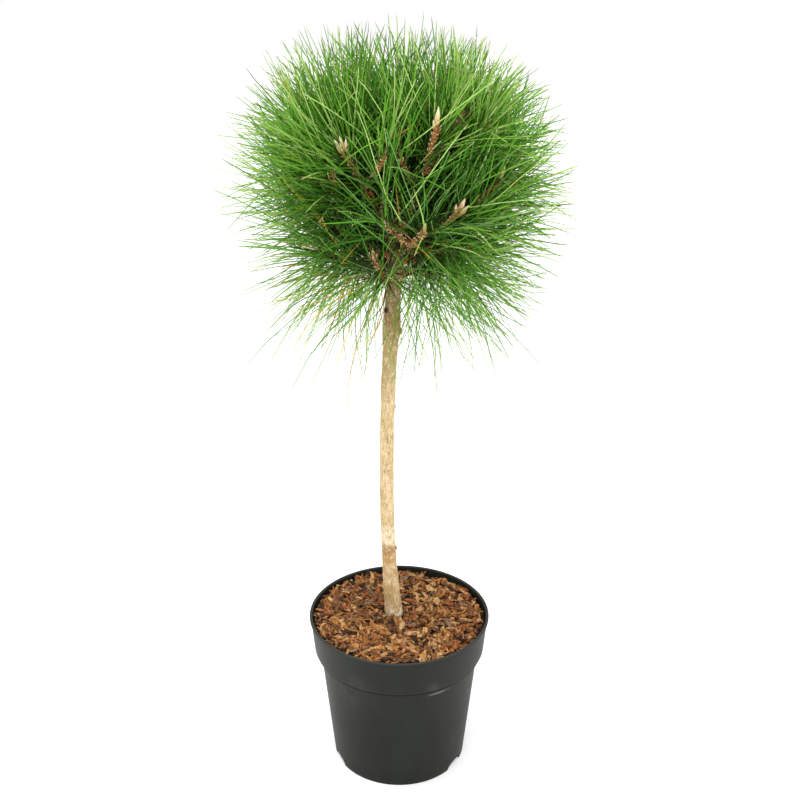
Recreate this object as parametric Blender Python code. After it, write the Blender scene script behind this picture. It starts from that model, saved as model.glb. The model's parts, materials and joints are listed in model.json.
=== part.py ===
"""Potted dwarf pine grafted on a bare stem: a black nursery pot filled with bark mulch, one slim
trunk, three whorls of young boughs and a mass of long needles round the end of each bough.

Metres, +Z up. The origin is under the middle of the pot, on the surface that it stands on, and the
front is -Y."""

import math
import random
from collections import namedtuple

import bmesh
import bpy
from mathutils import Matrix, Vector

CLEARANCE = 0.0003  # gap kept between two solids that touch on the real plant
UP = Vector((0, 0, 1))

# Nursery pot
POT_DIAMETER = 0.190
POT_HEIGHT = 0.171
POT_WALL = 0.0016
POT_SIDES = 40
LIP_HEIGHT = 0.003
BAND_HEIGHT = 0.045  # the wider collar under the rim
BAND_TOP_RADIUS = 0.0937
BAND_FOOT_RADIUS = 0.0903
SHOULDER_HEIGHT = 0.007  # where the collar turns in to the body
SHOULDER_BEND = 0.0022
LIP_CHAMFER = 0.0006
STEP_RISE = 0.4  # how far the step inside lies above the one outside, in wall thicknesses
BODY_TOP_RADIUS = 0.0838
FOOT_RADIUS = 0.0710
FOOT_RING_WIDTH = 0.003
FLOOR_BOTTOM = 0.004
FLOOR_TOP = 0.006
DRAIN_HOLE_DIAMETER = 0.010
DRAIN_HOLE_CIRCLE = 0.040
DRAIN_HOLE_COUNT = 6
NOTCH_ANGLES = (-156, -32, 86)  # degrees round the pot's foot
NOTCH_WIDTH = 0.025
NOTCH_HEIGHT = 0.0065
NOTCH_DEPTH = 0.006
NOTCH_LEAN = math.radians(24)

# Bark mulch
MULCH_LEVEL = 0.1625
MULCH_LUMP = 0.0035
MULCH_RINGS = 5
MULCH_SEED = 11
MULCH_CORNER = 0.018  # the root ball is rounded off above the drainage notches
MULCH_GAP = CLEARANCE * 1.5
SEAT_RADIUS = 0.026  # the mulch is trodden flat round the trunk's foot
SEAT_DROP = 0.0025

# Trunk
TRUNK_FOOT = Vector((-0.0049, 0.0080, MULCH_LEVEL - SEAT_DROP + CLEARANCE))
TRUNK_HEAD = Vector((-0.0012, 0.0040, 0.5880))
TRUNK_BOW = 0.0094  # how far it bends to the left, under halfway up
TRUNK_BOW_SKEW = 0.85
TRUNK_FOOT_RADIUS = 0.0074
TRUNK_WAIST_RADIUS = 0.0071
TRUNK_WAIST = 0.30  # the waist's share of the way up
TRUNK_HEAD_RADIUS = 0.0074
ROOT_FLARE = 0.0028
ROOT_FLARE_HEIGHT = 0.035
GRAFT_HEIGHT = 0.492
GRAFT_SWELLING = 0.0016
GRAFT_LENGTH = 0.016
TRUNK_RINGS = 27
TRUNK_SIDES = 10

# Each knot left by a pruned shoot: its height, bearing in degrees, radius, and how far it stands out
Knot = namedtuple("Knot", "height bearing radius stands_out")
KNOTS = (
    Knot(0.507, -132, 0.0028, 0.0018),
    Knot(0.484, -12, 0.0030, 0.0022),
    Knot(0.481, -64, 0.0016, 0.0006),
    Knot(0.405, -8, 0.0016, 0.0012),
    Knot(0.2434, -8, 0.0018, 0.0014),
)
KNOT_RISE = 14

# Boughs and their needles
BOUGH_SIDES = 6
BOUGH_RINGS = 5
BOUGH_FOOT_RADIUS = 0.0029
BOUGH_TIP_RADIUS = 0.0023
BOUGH_COLLAR = 0.0006
BOUGH_COLLAR_SHARE = 0.06
BOUGH_ROOT = 0.72  # where it starts inside the trunk, as a share of the trunk's radius
BOUGH_BEND = 0.45  # where a bough turns up, as a share of its reach
END_RING = 0.015
STEM_SIDES = 4
STEM_RINGS = 4
BUD_RADIUS = 0.0034
BUD_LENGTH = 0.015
BUD_SIDES = 6
BUD_OUTLINE = ((-0.25, 0.5), (0.15, 1.0), (0.45, 0.9), (0.8, 0.45), (1.0, 0.12))

# A spray is a thin blade, flat in front and ridged behind, cut into three needle points. Places
# are along and across it, as shares of its length
SPRAY_LENGTH = 0.090
SPRAY_ROOT_WIDTH = 0.026
SPRAY_NOTCH = (0.31, 0.025)
SPRAY_TIPS = ((0.92, 0.20), (1.0, -0.01), (0.88, -0.21))
SPRAY_THICKNESS = 0.0018
SHORTEST_SHARE = 0.50  # a spray that has to be shorter than this is left out
LOWEST_ROOT = 0.006  # how far up the stem the first spray stands
HIGHEST_ROOT = 0.96  # the last one's share of the stem
TEST_STEP = 0.005  # a needle's way is tested this often
SPRAYS_PER_MASS = 25
SPRAY_TRIES = 900
EVEN_TURN = 0.5698  # steps that spread places and turns evenly over the stem
EVEN_PLACE = 0.7549
CROWDING = 0.85  # below 1, more of them stand near the bud

# The crown's outline is a squared-off ball that narrows below its middle
CROWN_CENTRE = Vector((0.001, 0.000, 0.6080))
CROWN_RADII = Vector((0.1680, 0.1660, 0.1720))
CROWN_SQUARENESS = 2.4
CROWN_TAPER = 0.16  # how much narrower it is at its lowest point

# A whorl is a ring of boughs that leave the trunk at about one height. Its needles stand off their
# stem at one angle near the stem's foot and at another round its bud
Whorl = namedtuple("Whorl", "height bare_share foot_angle foot_spread bud_spread")
WHORLS = {
    "low": Whorl(0.549, 0.20, -4, 84, 42),
    "middle": Whorl(0.567, 0.20, 18, 42, 34),
    "top": Whorl(0.584, 0.20, 52, 38, 28),
}

# Each bough's bearing round the trunk and rise, in degrees, the reach of its bud from the crown's
# heart, and how far above or below its whorl's middle it leaves the trunk
Bough = namedtuple("Bough", "whorl bearing rise reach lift")
BOUGHS = {
    "top_front_left": Bough("top", -125, 56, 0.130, -0.005),
    "top_front_right": Bough("top", -56, 62, 0.145, 0.0),
    "top_right": Bough("top", 2, 62, 0.146, 0.005),
    "top_back": Bough("top", 84, 58, 0.147, -0.003),
    "top_left": Bough("top", 164, 72, 0.130, 0.003),
    "middle_left": Bough("middle", -163, 44, 0.122, -0.005),
    "middle_front": Bough("middle", -74, 25, 0.110, 0.0),
    "middle_right": Bough("middle", -22, 38, 0.132, 0.005),
    "middle_back_right": Bough("middle", 48, 34, 0.134, -0.003),
    "middle_back_left": Bough("middle", 120, 34, 0.136, 0.003),
    "low_front": Bough("low", -107, 12, 0.058, -0.005),
    "low_right": Bough("low", -35, 2, 0.066, 0.0),
    "low_back_right": Bough("low", 37, 0, 0.066, 0.005),
    "low_back": Bough("low", 109, 0, 0.066, -0.003),
    "low_left": Bough("low", -179, 0, 0.066, 0.003),
}
CROWN_HEART = Vector((-0.0060, 0.0040, 0.5640))


def clear_scene():
    for obj in list(bpy.data.objects):
        bpy.data.objects.remove(obj)


def plain_material(name, colour, roughness):
    """One Principled surface with the colour and roughness that the photo shows."""
    made = bpy.data.materials.new(name)
    made.use_nodes = True
    shader = made.node_tree.nodes["Principled BSDF"]
    shader.inputs["Base Color"].default_value = (*colour, 1)
    shader.inputs["Roughness"].default_value = roughness
    shader.inputs["Metallic"].default_value = 0
    return made


def object_of(name, mesh, material=None):
    obj = bpy.data.objects.new(name, mesh)
    bpy.context.scene.collection.objects.link(obj)
    if material:
        mesh.materials.clear()
        mesh.materials.append(material)
    return obj


def remove(obj):
    bpy.data.objects.remove(obj)


def evaluated_mesh(obj):
    """The object's mesh with its modifiers applied, or the mesh that its curve makes."""
    bpy.context.view_layer.update()
    graph = bpy.context.evaluated_depsgraph_get()
    return bpy.data.meshes.new_from_object(obj.evaluated_get(graph))


def shade(obj, sharp_degrees):
    """Smooth shading, apart from edges sharper than the given angle."""
    obj.data.shade_smooth()
    obj.data.set_sharp_from_angle(angle=math.radians(sharp_degrees))


def turned_mesh(name, profile, sides):
    """A profile of (radius, height) points that starts and ends on the axis, turned once round Z."""
    form = bmesh.new()
    points = [form.verts.new((radius, 0, height)) for radius, height in profile]
    edges = [form.edges.new(pair) for pair in zip(points, points[1:])]
    bmesh.ops.spin(
        form,
        geom=points + edges,
        cent=(0, 0, 0),
        axis=UP,
        angle=math.tau,
        steps=sides,
        use_merge=True,
    )
    bmesh.ops.remove_doubles(form, verts=form.verts, dist=1e-6)
    bmesh.ops.recalc_face_normals(form, faces=form.faces)
    mesh = bpy.data.meshes.new(name)
    form.to_mesh(mesh)
    form.free()
    return mesh


def limb_mesh(name, points, radii, sides):
    """A closed tapering tube of 4 or more sides, an even number, as a bevelled curve with filled ends."""
    curve = bpy.data.curves.new(name, "CURVE")
    curve.dimensions = "3D"
    curve.bevel_depth = 1.0
    curve.bevel_resolution = (sides - 4) // 2
    curve.use_fill_caps = True
    curve.twist_mode = "MINIMUM"
    spline = curve.splines.new("POLY")
    spline.points.add(len(points) - 1)
    for place, point, radius in zip(spline.points, points, radii):
        place.co = (*point, 1)
        place.radius = radius
    guide = object_of(name + "_guide", curve)
    mesh = evaluated_mesh(guide)
    remove(guide)
    weld(mesh)
    return mesh


def weld(mesh):
    """Joins the caps of a curve's tube to its sides, and points the faces outwards."""
    form = bmesh.new()
    form.from_mesh(mesh)
    bmesh.ops.remove_doubles(form, verts=form.verts, dist=1e-6)
    bmesh.ops.recalc_face_normals(form, faces=form.faces)
    form.to_mesh(mesh)
    form.free()


def boolean(obj, operation, pieces):
    """One Boolean of the object with all the pieces, applied. The pieces are then removed."""
    group = bpy.data.collections.new(obj.name + "_pieces")
    bpy.context.scene.collection.children.link(group)
    for piece in pieces:
        bpy.context.scene.collection.objects.unlink(piece)
        group.objects.link(piece)
    modifier = obj.modifiers.new(operation.lower(), "BOOLEAN")
    modifier.operation = operation
    modifier.operand_type = "COLLECTION"
    modifier.collection = group
    mesh = evaluated_mesh(obj)
    obj.modifiers.clear()
    obj.data = mesh
    for piece in pieces:
        remove(piece)
    bpy.data.collections.remove(group)


def keep_outer_shell(mesh):
    """Leaves only the largest connected shell: hollows that fusing sealed are filled, and loose
    scraps are dropped."""
    form = bmesh.new()
    form.from_mesh(mesh)
    unseen = set(form.faces)
    shells = []
    while unseen:
        shell = set()
        edge_of_shell = [unseen.pop()]
        while edge_of_shell:
            face = edge_of_shell.pop()
            shell.add(face)
            for edge in face.edges:
                for neighbour in edge.link_faces:
                    if neighbour in unseen:
                        unseen.remove(neighbour)
                        edge_of_shell.append(neighbour)
        shells.append(shell)
    shells.sort(key=lambda shell: sum(face.calc_area() for face in shell))
    scraps = [face for shell in shells[:-1] for face in shell]
    bmesh.ops.delete(form, geom=scraps, context="FACES")
    form.to_mesh(mesh)
    form.free()


def cylinder(name, radius, length, place, sides=12):
    form = bmesh.new()
    bmesh.ops.create_cone(
        form,
        cap_ends=True,
        segments=sides,
        radius1=radius,
        radius2=radius,
        depth=length,
        matrix=Matrix.Translation(place),
    )
    mesh = bpy.data.meshes.new(name)
    form.to_mesh(mesh)
    form.free()
    return object_of(name, mesh)


def body_radius(height):
    """The pot body's outer radius at a height above its foot."""
    share = height / (POT_HEIGHT - BAND_HEIGHT)
    return FOOT_RADIUS + (BODY_TOP_RADIUS - FOOT_RADIUS) * share


def inner_floor_radius():
    return body_radius(FLOOR_TOP) - POT_WALL


def inner_shoulder(gap=0.0):
    """Top and bottom of the step inside the pot, or of what fills the pot with a gap to it."""
    thickness = POT_WALL + gap
    band_foot = POT_HEIGHT - BAND_HEIGHT
    return [
        (BAND_FOOT_RADIUS - thickness, band_foot + SHOULDER_HEIGHT + POT_WALL * STEP_RISE + gap),
        (BODY_TOP_RADIUS - thickness, band_foot + POT_WALL * STEP_RISE + gap),
    ]


def pot_profile():
    """The pot's wall as one outline, from the middle of its underside to the middle of its floor."""
    rim = POT_DIAMETER / 2
    band_foot = POT_HEIGHT - BAND_HEIGHT
    lip_foot = POT_HEIGHT - LIP_HEIGHT
    shoulder_top = band_foot + SHOULDER_HEIGHT
    shoulder_middle = band_foot + SHOULDER_HEIGHT * 0.25
    outside = [
        (FOOT_RADIUS - FOOT_RING_WIDTH, 0),
        (FOOT_RADIUS, 0),
        (body_radius(FLOOR_TOP), FLOOR_TOP),
        (BODY_TOP_RADIUS, band_foot),
        (BAND_FOOT_RADIUS - SHOULDER_BEND, shoulder_middle),
        (BAND_FOOT_RADIUS, shoulder_top),
        (BAND_TOP_RADIUS, lip_foot),
        (rim, lip_foot + LIP_CHAMFER),
        (rim, POT_HEIGHT),
    ]
    inside = [(BAND_TOP_RADIUS - POT_WALL, POT_HEIGHT), *inner_shoulder(), (inner_floor_radius(), FLOOR_TOP)]
    underside = [(0, FLOOR_BOTTOM), (FOOT_RADIUS - FOOT_RING_WIDTH, FLOOR_BOTTOM)]
    return underside + outside + inside + [(0, FLOOR_TOP)]


def drain_holes():
    holes = [Vector()]
    for turn in range(DRAIN_HOLE_COUNT):
        angle = math.tau * turn / DRAIN_HOLE_COUNT
        holes.append(Vector((math.cos(angle), math.sin(angle), 0)) * DRAIN_HOLE_CIRCLE)
    return [cylinder("drain_hole", DRAIN_HOLE_DIAMETER / 2, FLOOR_TOP * 4, hole) for hole in holes]


def foot_notches():
    """Slots through the foot's outer corner, which let water out from under the pot."""
    notches = []
    for degrees in NOTCH_ANGLES:
        angle = math.radians(degrees)
        form = bmesh.new()
        bmesh.ops.create_cube(form, size=1)
        bmesh.ops.scale(form, vec=(NOTCH_DEPTH * 2, NOTCH_WIDTH, NOTCH_HEIGHT * 2), verts=form.verts)
        lean = Matrix.Rotation(NOTCH_LEAN, 4, "Y")
        place = Matrix.Translation((FOOT_RADIUS + NOTCH_DEPTH / 4, 0, 0))
        bmesh.ops.transform(form, matrix=Matrix.Rotation(angle, 4, "Z") @ place @ lean, verts=form.verts)
        mesh = bpy.data.meshes.new("notch")
        form.to_mesh(mesh)
        form.free()
        notches.append(object_of("notch", mesh))
    return notches


def make_pot(material):
    pot = object_of("pot", turned_mesh("pot", pot_profile(), POT_SIDES), material)
    boolean(pot, "DIFFERENCE", drain_holes() + foot_notches())
    shade(pot, 28)
    return pot


def make_mulch(material):
    """Fills the pot to just under its rim, with a lumpy top that is flat round the trunk."""
    bottom = FLOOR_TOP + CLEARANCE
    step_top, step_foot = inner_shoulder(MULCH_GAP)
    share = (MULCH_LEVEL - step_top[1]) / (POT_HEIGHT - step_top[1])
    edge_radius = BAND_FOOT_RADIUS + (BAND_TOP_RADIUS - BAND_FOOT_RADIUS) * share - POT_WALL - MULCH_GAP
    profile = [
        (0, bottom),
        (inner_floor_radius() - MULCH_CORNER, bottom),
        (body_radius(MULCH_CORNER) - POT_WALL - MULCH_GAP * 1.5, MULCH_CORNER),
        step_foot,
        step_top,
        (edge_radius, MULCH_LEVEL - MULCH_LUMP),
    ]
    for ring in range(MULCH_RINGS - 1, 0, -1):
        profile.append((edge_radius * ring / MULCH_RINGS, MULCH_LEVEL))
    profile.append((0, MULCH_LEVEL))
    mulch = object_of("bark_mulch", turned_mesh("bark_mulch", profile, POT_SIDES), material)
    chance = random.Random(MULCH_SEED)
    surface = [vertex for vertex in mulch.data.vertices if vertex.co.z > MULCH_LEVEL - MULCH_LUMP / 2]
    for vertex in surface:
        lump = chance.uniform(-0.5, 1) * MULCH_LUMP
        in_seat = (vertex.co.xy - TRUNK_FOOT.xy).length < SEAT_RADIUS
        vertex.co.z += -SEAT_DROP if in_seat else lump
    return mulch


def trunk_centre(share):
    """A point on the trunk's middle line, from its foot at 0 to its head at 1."""
    bow = math.sin(math.pi * share**TRUNK_BOW_SKEW) * TRUNK_BOW
    return TRUNK_FOOT.lerp(TRUNK_HEAD, share) + Vector((-bow, 0, 0))


def trunk_share(height):
    return (height - TRUNK_FOOT.z) / (TRUNK_HEAD.z - TRUNK_FOOT.z)


def trunk_radius(share):
    """Slimmest a third of the way up, flared at the root and swollen where it was grafted."""
    if share < TRUNK_WAIST:
        radius = TRUNK_FOOT_RADIUS + (TRUNK_WAIST_RADIUS - TRUNK_FOOT_RADIUS) * share / TRUNK_WAIST
    else:
        above = (share - TRUNK_WAIST) / (1 - TRUNK_WAIST)
        radius = TRUNK_WAIST_RADIUS + (TRUNK_HEAD_RADIUS - TRUNK_WAIST_RADIUS) * above
    height = share * (TRUNK_HEAD.z - TRUNK_FOOT.z)
    flare = ROOT_FLARE * math.exp(-height / ROOT_FLARE_HEIGHT)
    from_graft = (height + TRUNK_FOOT.z - GRAFT_HEIGHT) / GRAFT_LENGTH
    return radius + flare + GRAFT_SWELLING * math.exp(-from_graft * from_graft)


def trunk_mesh(name, swell=0.0):
    """The whole stem, or a slightly thicker one to cut boughs with. It starts below the mulch, and
    is then cut off level at its foot."""
    shares = [ring / (TRUNK_RINGS - 1) for ring in range(TRUNK_RINGS)]
    points = [trunk_centre(share) for share in shares]
    radii = [trunk_radius(share) + swell for share in shares]
    points.insert(0, points[0] - UP * 0.01)
    radii.insert(0, radii[0])
    points[-1] += UP * swell
    mesh = limb_mesh(name, points, radii, TRUNK_SIDES)
    form = bmesh.new()
    form.from_mesh(mesh)
    everything = form.verts[:] + form.edges[:] + form.faces[:]
    bmesh.ops.bisect_plane(form, geom=everything, plane_co=TRUNK_FOOT, plane_no=UP, clear_inner=True)
    bmesh.ops.holes_fill(form, edges=[edge for edge in form.edges if edge.is_boundary])
    bmesh.ops.recalc_face_normals(form, faces=form.faces)
    form.to_mesh(mesh)
    form.free()
    return mesh


def knot_object(knot):
    """A short blunt stub square to the trunk."""
    share = trunk_share(knot.height)
    centre = trunk_centre(share)
    end = centre + heading(knot.bearing, KNOT_RISE) * (trunk_radius(share) + knot.stands_out)
    radii = (knot.radius, knot.radius, knot.radius * 0.6)
    return object_of("knot", limb_mesh("knot", [centre, centre.lerp(end, 0.85), end], radii, BOUGH_SIDES))


def make_trunk(material):
    trunk = object_of("trunk", trunk_mesh("trunk"), material)
    boolean(trunk, "UNION", [knot_object(knot) for knot in KNOTS])
    shade(trunk, 50)
    return trunk


def heading(bearing, rise):
    """Unit vector at a compass bearing from +X and a rise above level, in degrees."""
    across, up = math.radians(bearing), math.radians(rise)
    return Vector((math.cos(across) * math.cos(up), math.sin(across) * math.cos(up), math.sin(up)))


def bough_path(bough):
    """A curve from inside the trunk to the bud: it leaves at the whorl's angle and turns upwards."""
    whorl = WHORLS[bough.whorl]
    share = trunk_share(whorl.height + bough.lift)
    centre = trunk_centre(share)
    start = centre + heading(bough.bearing, 0) * trunk_radius(share) * BOUGH_ROOT
    bud = CROWN_HEART + heading(bough.bearing, bough.rise) * bough.reach
    reach = (bud - start).length
    bend = start + heading(bough.bearing, whorl.foot_angle) * reach * BOUGH_BEND
    return start, bend, bud


def along(path, share):
    """The point at a share of a three-point curve's length."""
    start, bend, end = path
    return start.lerp(bend, share).lerp(bend.lerp(end, share), share)


def bough_radius(share):
    collar = BOUGH_COLLAR * math.exp(-share / BOUGH_COLLAR_SHARE)
    return BOUGH_FOOT_RADIUS + (BOUGH_TIP_RADIUS - BOUGH_FOOT_RADIUS) * share + collar


def limb_along(name, path, first, last, rings, sides):
    """A stretch of a bough. A short ring at each end makes that end square to the bough."""
    shares = [first + (last - first) * ring / (rings - 1) for ring in range(rings)]
    shares = [first, first + END_RING, *shares[1:-1], last - END_RING, last]
    return limb_mesh(name, [along(path, s) for s in shares], [bough_radius(s) for s in shares], sides)


def make_bough(name, bough, material):
    """The bare foot of a shoot, cut to meet the trunk."""
    path = bough_path(bough)
    mesh = limb_along("bough_" + name, path, 0, WHORLS[bough.whorl].bare_share, BOUGH_RINGS, BOUGH_SIDES)
    made = object_of("bough_" + name, mesh, material)
    boolean(made, "DIFFERENCE", [object_of("trunk_room", trunk_mesh("trunk_room", swell=CLEARANCE))])
    shade(made, 50)
    return made


def in_crown(point):
    """Below 1 inside the crown's outline, and above 1 outside it."""
    away = point - CROWN_CENTRE
    narrowing = 1 + CROWN_TAPER * max(0.0, -away.z / CROWN_RADII.z)
    away = Vector((away.x * narrowing, away.y * narrowing, away.z))
    return sum(abs(a / r) ** CROWN_SQUARENESS for a, r in zip(away, CROWN_RADII))


def sampled(path, first, last, count):
    return [along(path, first + (last - first) * step / (count - 1)) for step in range(count)]


def nearest(point, line):
    """Distance from a point to a line of points."""
    least = 1.0
    for start, end in zip(line, line[1:]):
        run = end - start
        share = max(0.0, min(1.0, (point - start).dot(run) / run.length_squared))
        least = min(least, (start + run * share - point).length)
    return least


class Surroundings:
    """What a mass of needles keeps clear of: the trunk, the boughs and the other masses' spaces."""

    def __init__(self):
        self.stems = {}
        self.limbs = {}
        for name, bough in BOUGHS.items():
            path = bough_path(bough)
            bare = WHORLS[bough.whorl].bare_share
            self.stems[name] = sampled(path, bare, 1.0, 6)
            self.limbs[name] = sampled(path, 0.0, bare, 5)
        self.trunk = [trunk_centre(ring / (TRUNK_RINGS - 1)) for ring in range(TRUNK_RINGS)]
        self.trunk_room = trunk_radius(trunk_share(GRAFT_HEIGHT))

    def room_at(self, name, point, thickness):
        """True where a needle of the named mass may pass."""
        if in_crown(point) > 1:
            return False
        mine = nearest(point, self.stems[name])
        margin = thickness + CLEARANCE
        for other, line in self.stems.items():
            if other != name and nearest(point, line) < mine + margin * 2:
                return False
        for line in self.limbs.values():
            if nearest(point, line) < BOUGH_FOOT_RADIUS + margin:
                return False
        return nearest(point, self.trunk) > self.trunk_room + margin

    def clear_share(self, name, root, reach):
        """How much of a needle may stay before it leaves its mass's own space."""
        steps = math.ceil(reach.length / TEST_STEP)
        for step in range(1, steps + 1):
            share = step / steps
            if not self.room_at(name, root + reach * share, SPRAY_THICKNESS * (1.02 - share)):
                return (step - 1) / steps
        return 1.0


def spray_places(bough, chance):
    """Seeded rule for a shoot's sprays: they wind up the stem, wide at its foot and close round its
    bud. Gives each spray's root, the way that it points, and the way across its blade."""
    path = bough_path(bough)
    lowest = WHORLS[bough.whorl].bare_share + LOWEST_ROOT / bough.reach
    foot_spread, bud_spread = WHORLS[bough.whorl].foot_spread, WHORLS[bough.whorl].bud_spread
    for turn in range(SPRAY_TRIES):
        place = (turn * EVEN_PLACE % 1) ** CROWDING
        share = lowest + (HIGHEST_ROOT - lowest) * place
        axis = (along(path, share + 0.02) - along(path, share - 0.02)).normalized()
        side = axis.orthogonal().normalized()
        turned = math.tau * (turn * EVEN_TURN + chance.uniform(-0.04, 0.04))
        side.rotate(Matrix.Rotation(turned, 3, axis))
        spread = math.radians(foot_spread + (bud_spread - foot_spread) * place + chance.uniform(-5, 5))
        reach = axis * math.cos(spread) + side * math.sin(spread)
        across = axis.cross(side).normalized()
        yield along(path, share), reach * SPRAY_LENGTH * chance.uniform(0.92, 1.08), across


def spray_mesh(root, reach, across):
    """A blade with three needle points, whose root is sunk in the stem."""
    length = reach.length
    behind = reach.cross(across).normalized() * SPRAY_THICKNESS
    form = bmesh.new()

    def corner(forward, sideways, depth=0.0):
        return form.verts.new(root + reach * forward + across * sideways * length + behind * depth)

    notch_place, notch_side = SPRAY_NOTCH
    tips = [corner(forward, sideways) for forward, sideways in SPRAY_TIPS]
    base = [
        corner(0, SPRAY_ROOT_WIDTH / 2),
        corner(notch_place, notch_side),
        corner(notch_place, -notch_side),
        corner(0, -SPRAY_ROOT_WIDTH / 2),
    ]
    root_ridge, ridge = corner(0, 0, 0.9), corner(notch_place, 0, 1)
    form.faces.new(base)
    for tip, first, second in zip(tips, base, base[1:]):
        form.faces.new((first, tip, second))
        form.faces.new((first, tip, ridge))
        form.faces.new((second, tip, ridge))
    form.faces.new((base[0], root_ridge, ridge))
    form.faces.new((base[3], root_ridge, ridge))
    form.faces.new((base[0], base[3], root_ridge))
    bmesh.ops.recalc_face_normals(form, faces=form.faces)
    mesh = bpy.data.meshes.new("spray")
    form.to_mesh(mesh)
    form.free()
    return mesh


def fitted_spray(name, root, reach, across, around):
    """A spray shortened to the room that all its needles have, or None where that is too little."""
    needles = [reach * forward + across * sideways * reach.length for forward, sideways in SPRAY_TIPS]
    share = min(around.clear_share(name, root, needle) for needle in needles)
    if share < SHORTEST_SHARE:
        return None
    return object_of("spray", spray_mesh(root, reach * share, across))


def bud_object(path):
    """The resting bud at the end of a shoot."""
    tip = along(path, 1.0)
    axis = (tip - along(path, 0.96)).normalized()
    points = [tip + axis * BUD_LENGTH * share for share, width in BUD_OUTLINE]
    radii = [BUD_RADIUS * width for share, width in BUD_OUTLINE]
    return object_of("bud", limb_mesh("bud", points, radii, BUD_SIDES))


def make_needles(name, bough, seed, around, material):
    """One mass: the leafy end of a shoot, with its sprays of needles and its bud fused on."""
    path = bough_path(bough)
    first = WHORLS[bough.whorl].bare_share
    gap = CLEARANCE / bough.reach
    mesh = limb_along("needles_" + name, path, first + gap, 1.0, STEM_RINGS, STEM_SIDES)
    mass = object_of("needles_" + name, mesh, material)
    pieces = [bud_object(path)]
    for root, reach, across in spray_places(bough, random.Random(seed)):
        spray = fitted_spray(name, root, reach, across, around)
        if spray:
            pieces.append(spray)
        if len(pieces) > SPRAYS_PER_MASS:
            break
    boolean(mass, "UNION", pieces)
    keep_outer_shell(mass.data)
    return mass


def main():
    clear_scene()
    plastic = plain_material("black_plastic", (0.035, 0.037, 0.034), 0.45)
    bark_chips = plain_material("bark_chips", (0.26, 0.12, 0.05), 0.85)
    trunk_bark = plain_material("trunk_bark", (0.60, 0.46, 0.25), 0.8)
    young_bark = plain_material("young_bark", (0.22, 0.09, 0.04), 0.8)
    needle_green = plain_material("needle_green", (0.08, 0.22, 0.03), 0.5)

    make_pot(plastic)
    make_mulch(bark_chips)
    make_trunk(trunk_bark)
    around = Surroundings()
    for seed, (name, bough) in enumerate(BOUGHS.items()):
        make_bough(name, bough, young_bark)
        make_needles(name, bough, seed, around, needle_green)


main()
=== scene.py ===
"""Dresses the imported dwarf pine: a moulded nursery pot, a bed of loose bark chips, a barked stem, and
a crown of scaly shoots, resting buds and long needles that grow on the solids' own boughs.

Metres, +Z up, the front is -Y. The rule for stem, boughs and sprays is the one in the part's source,
carried here to single needles."""

import json
import random
from collections import namedtuple
from math import atan2, cos, exp, hypot, pi, radians, sin, sqrt, tau

import bpy
import numpy as np
from mathutils import Matrix, Vector, noise

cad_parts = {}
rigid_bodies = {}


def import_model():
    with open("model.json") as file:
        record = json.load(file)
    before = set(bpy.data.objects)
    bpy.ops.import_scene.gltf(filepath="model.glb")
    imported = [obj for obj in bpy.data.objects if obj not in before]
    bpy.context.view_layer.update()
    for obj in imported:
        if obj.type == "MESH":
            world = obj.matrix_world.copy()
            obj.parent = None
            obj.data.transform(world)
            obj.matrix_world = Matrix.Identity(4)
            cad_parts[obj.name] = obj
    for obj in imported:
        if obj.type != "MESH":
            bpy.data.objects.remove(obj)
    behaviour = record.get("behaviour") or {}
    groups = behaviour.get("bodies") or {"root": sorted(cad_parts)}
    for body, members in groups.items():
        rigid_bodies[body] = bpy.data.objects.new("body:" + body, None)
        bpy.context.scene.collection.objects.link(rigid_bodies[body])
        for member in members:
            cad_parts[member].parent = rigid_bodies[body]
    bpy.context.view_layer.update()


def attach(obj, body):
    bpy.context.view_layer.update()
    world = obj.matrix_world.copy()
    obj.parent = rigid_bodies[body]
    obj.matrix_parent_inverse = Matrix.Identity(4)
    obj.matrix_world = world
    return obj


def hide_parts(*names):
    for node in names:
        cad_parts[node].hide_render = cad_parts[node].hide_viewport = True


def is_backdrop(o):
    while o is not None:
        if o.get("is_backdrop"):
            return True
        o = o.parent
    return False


UP = Vector((0, 0, 1))

# Camera, as fitted to the photograph
CAMERA_PLACE = (0.0009, -1.0846, 0.8806)
CAMERA_TILT = 66.811
CAMERA_LENS = 54

# Nursery pot
POT_RADIUS = 0.095
POT_HEIGHT = 0.171
POT_WALL = 0.0016
POT_SIDES = 144
LIP_HEIGHT = 0.003
LIP_CHAMFER = 0.0006
BAND_HEIGHT = 0.045
BAND_LEVEL = POT_HEIGHT - BAND_HEIGHT  # the crease where the collar stands out
BAND_TOP_RADIUS = 0.0937
BAND_FOOT_RADIUS = 0.0903
SHOULDER_HEIGHT = 0.007
SHOULDER_BEND = 0.0022
STEP_RISE = 0.4
BODY_TOP_RADIUS = 0.0838
POT_FOOT_RADIUS = 0.0710
FOOT_RING_WIDTH = 0.003
FLOOR_BOTTOM = 0.004
FLOOR_TOP = 0.006
EDGE_ROUNDING = 0.0005
DRAIN_HOLE_RADIUS = 0.005
DRAIN_HOLE_CIRCLE = 0.040
DRAIN_HOLE_COUNT = 6
NOTCH_ANGLES = (-156, -32, 86)
NOTCH_WIDTH = 0.025
NOTCH_HEIGHT = 0.0065
NOTCH_DEPTH = 0.006
NOTCH_LEAN = 24

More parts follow.
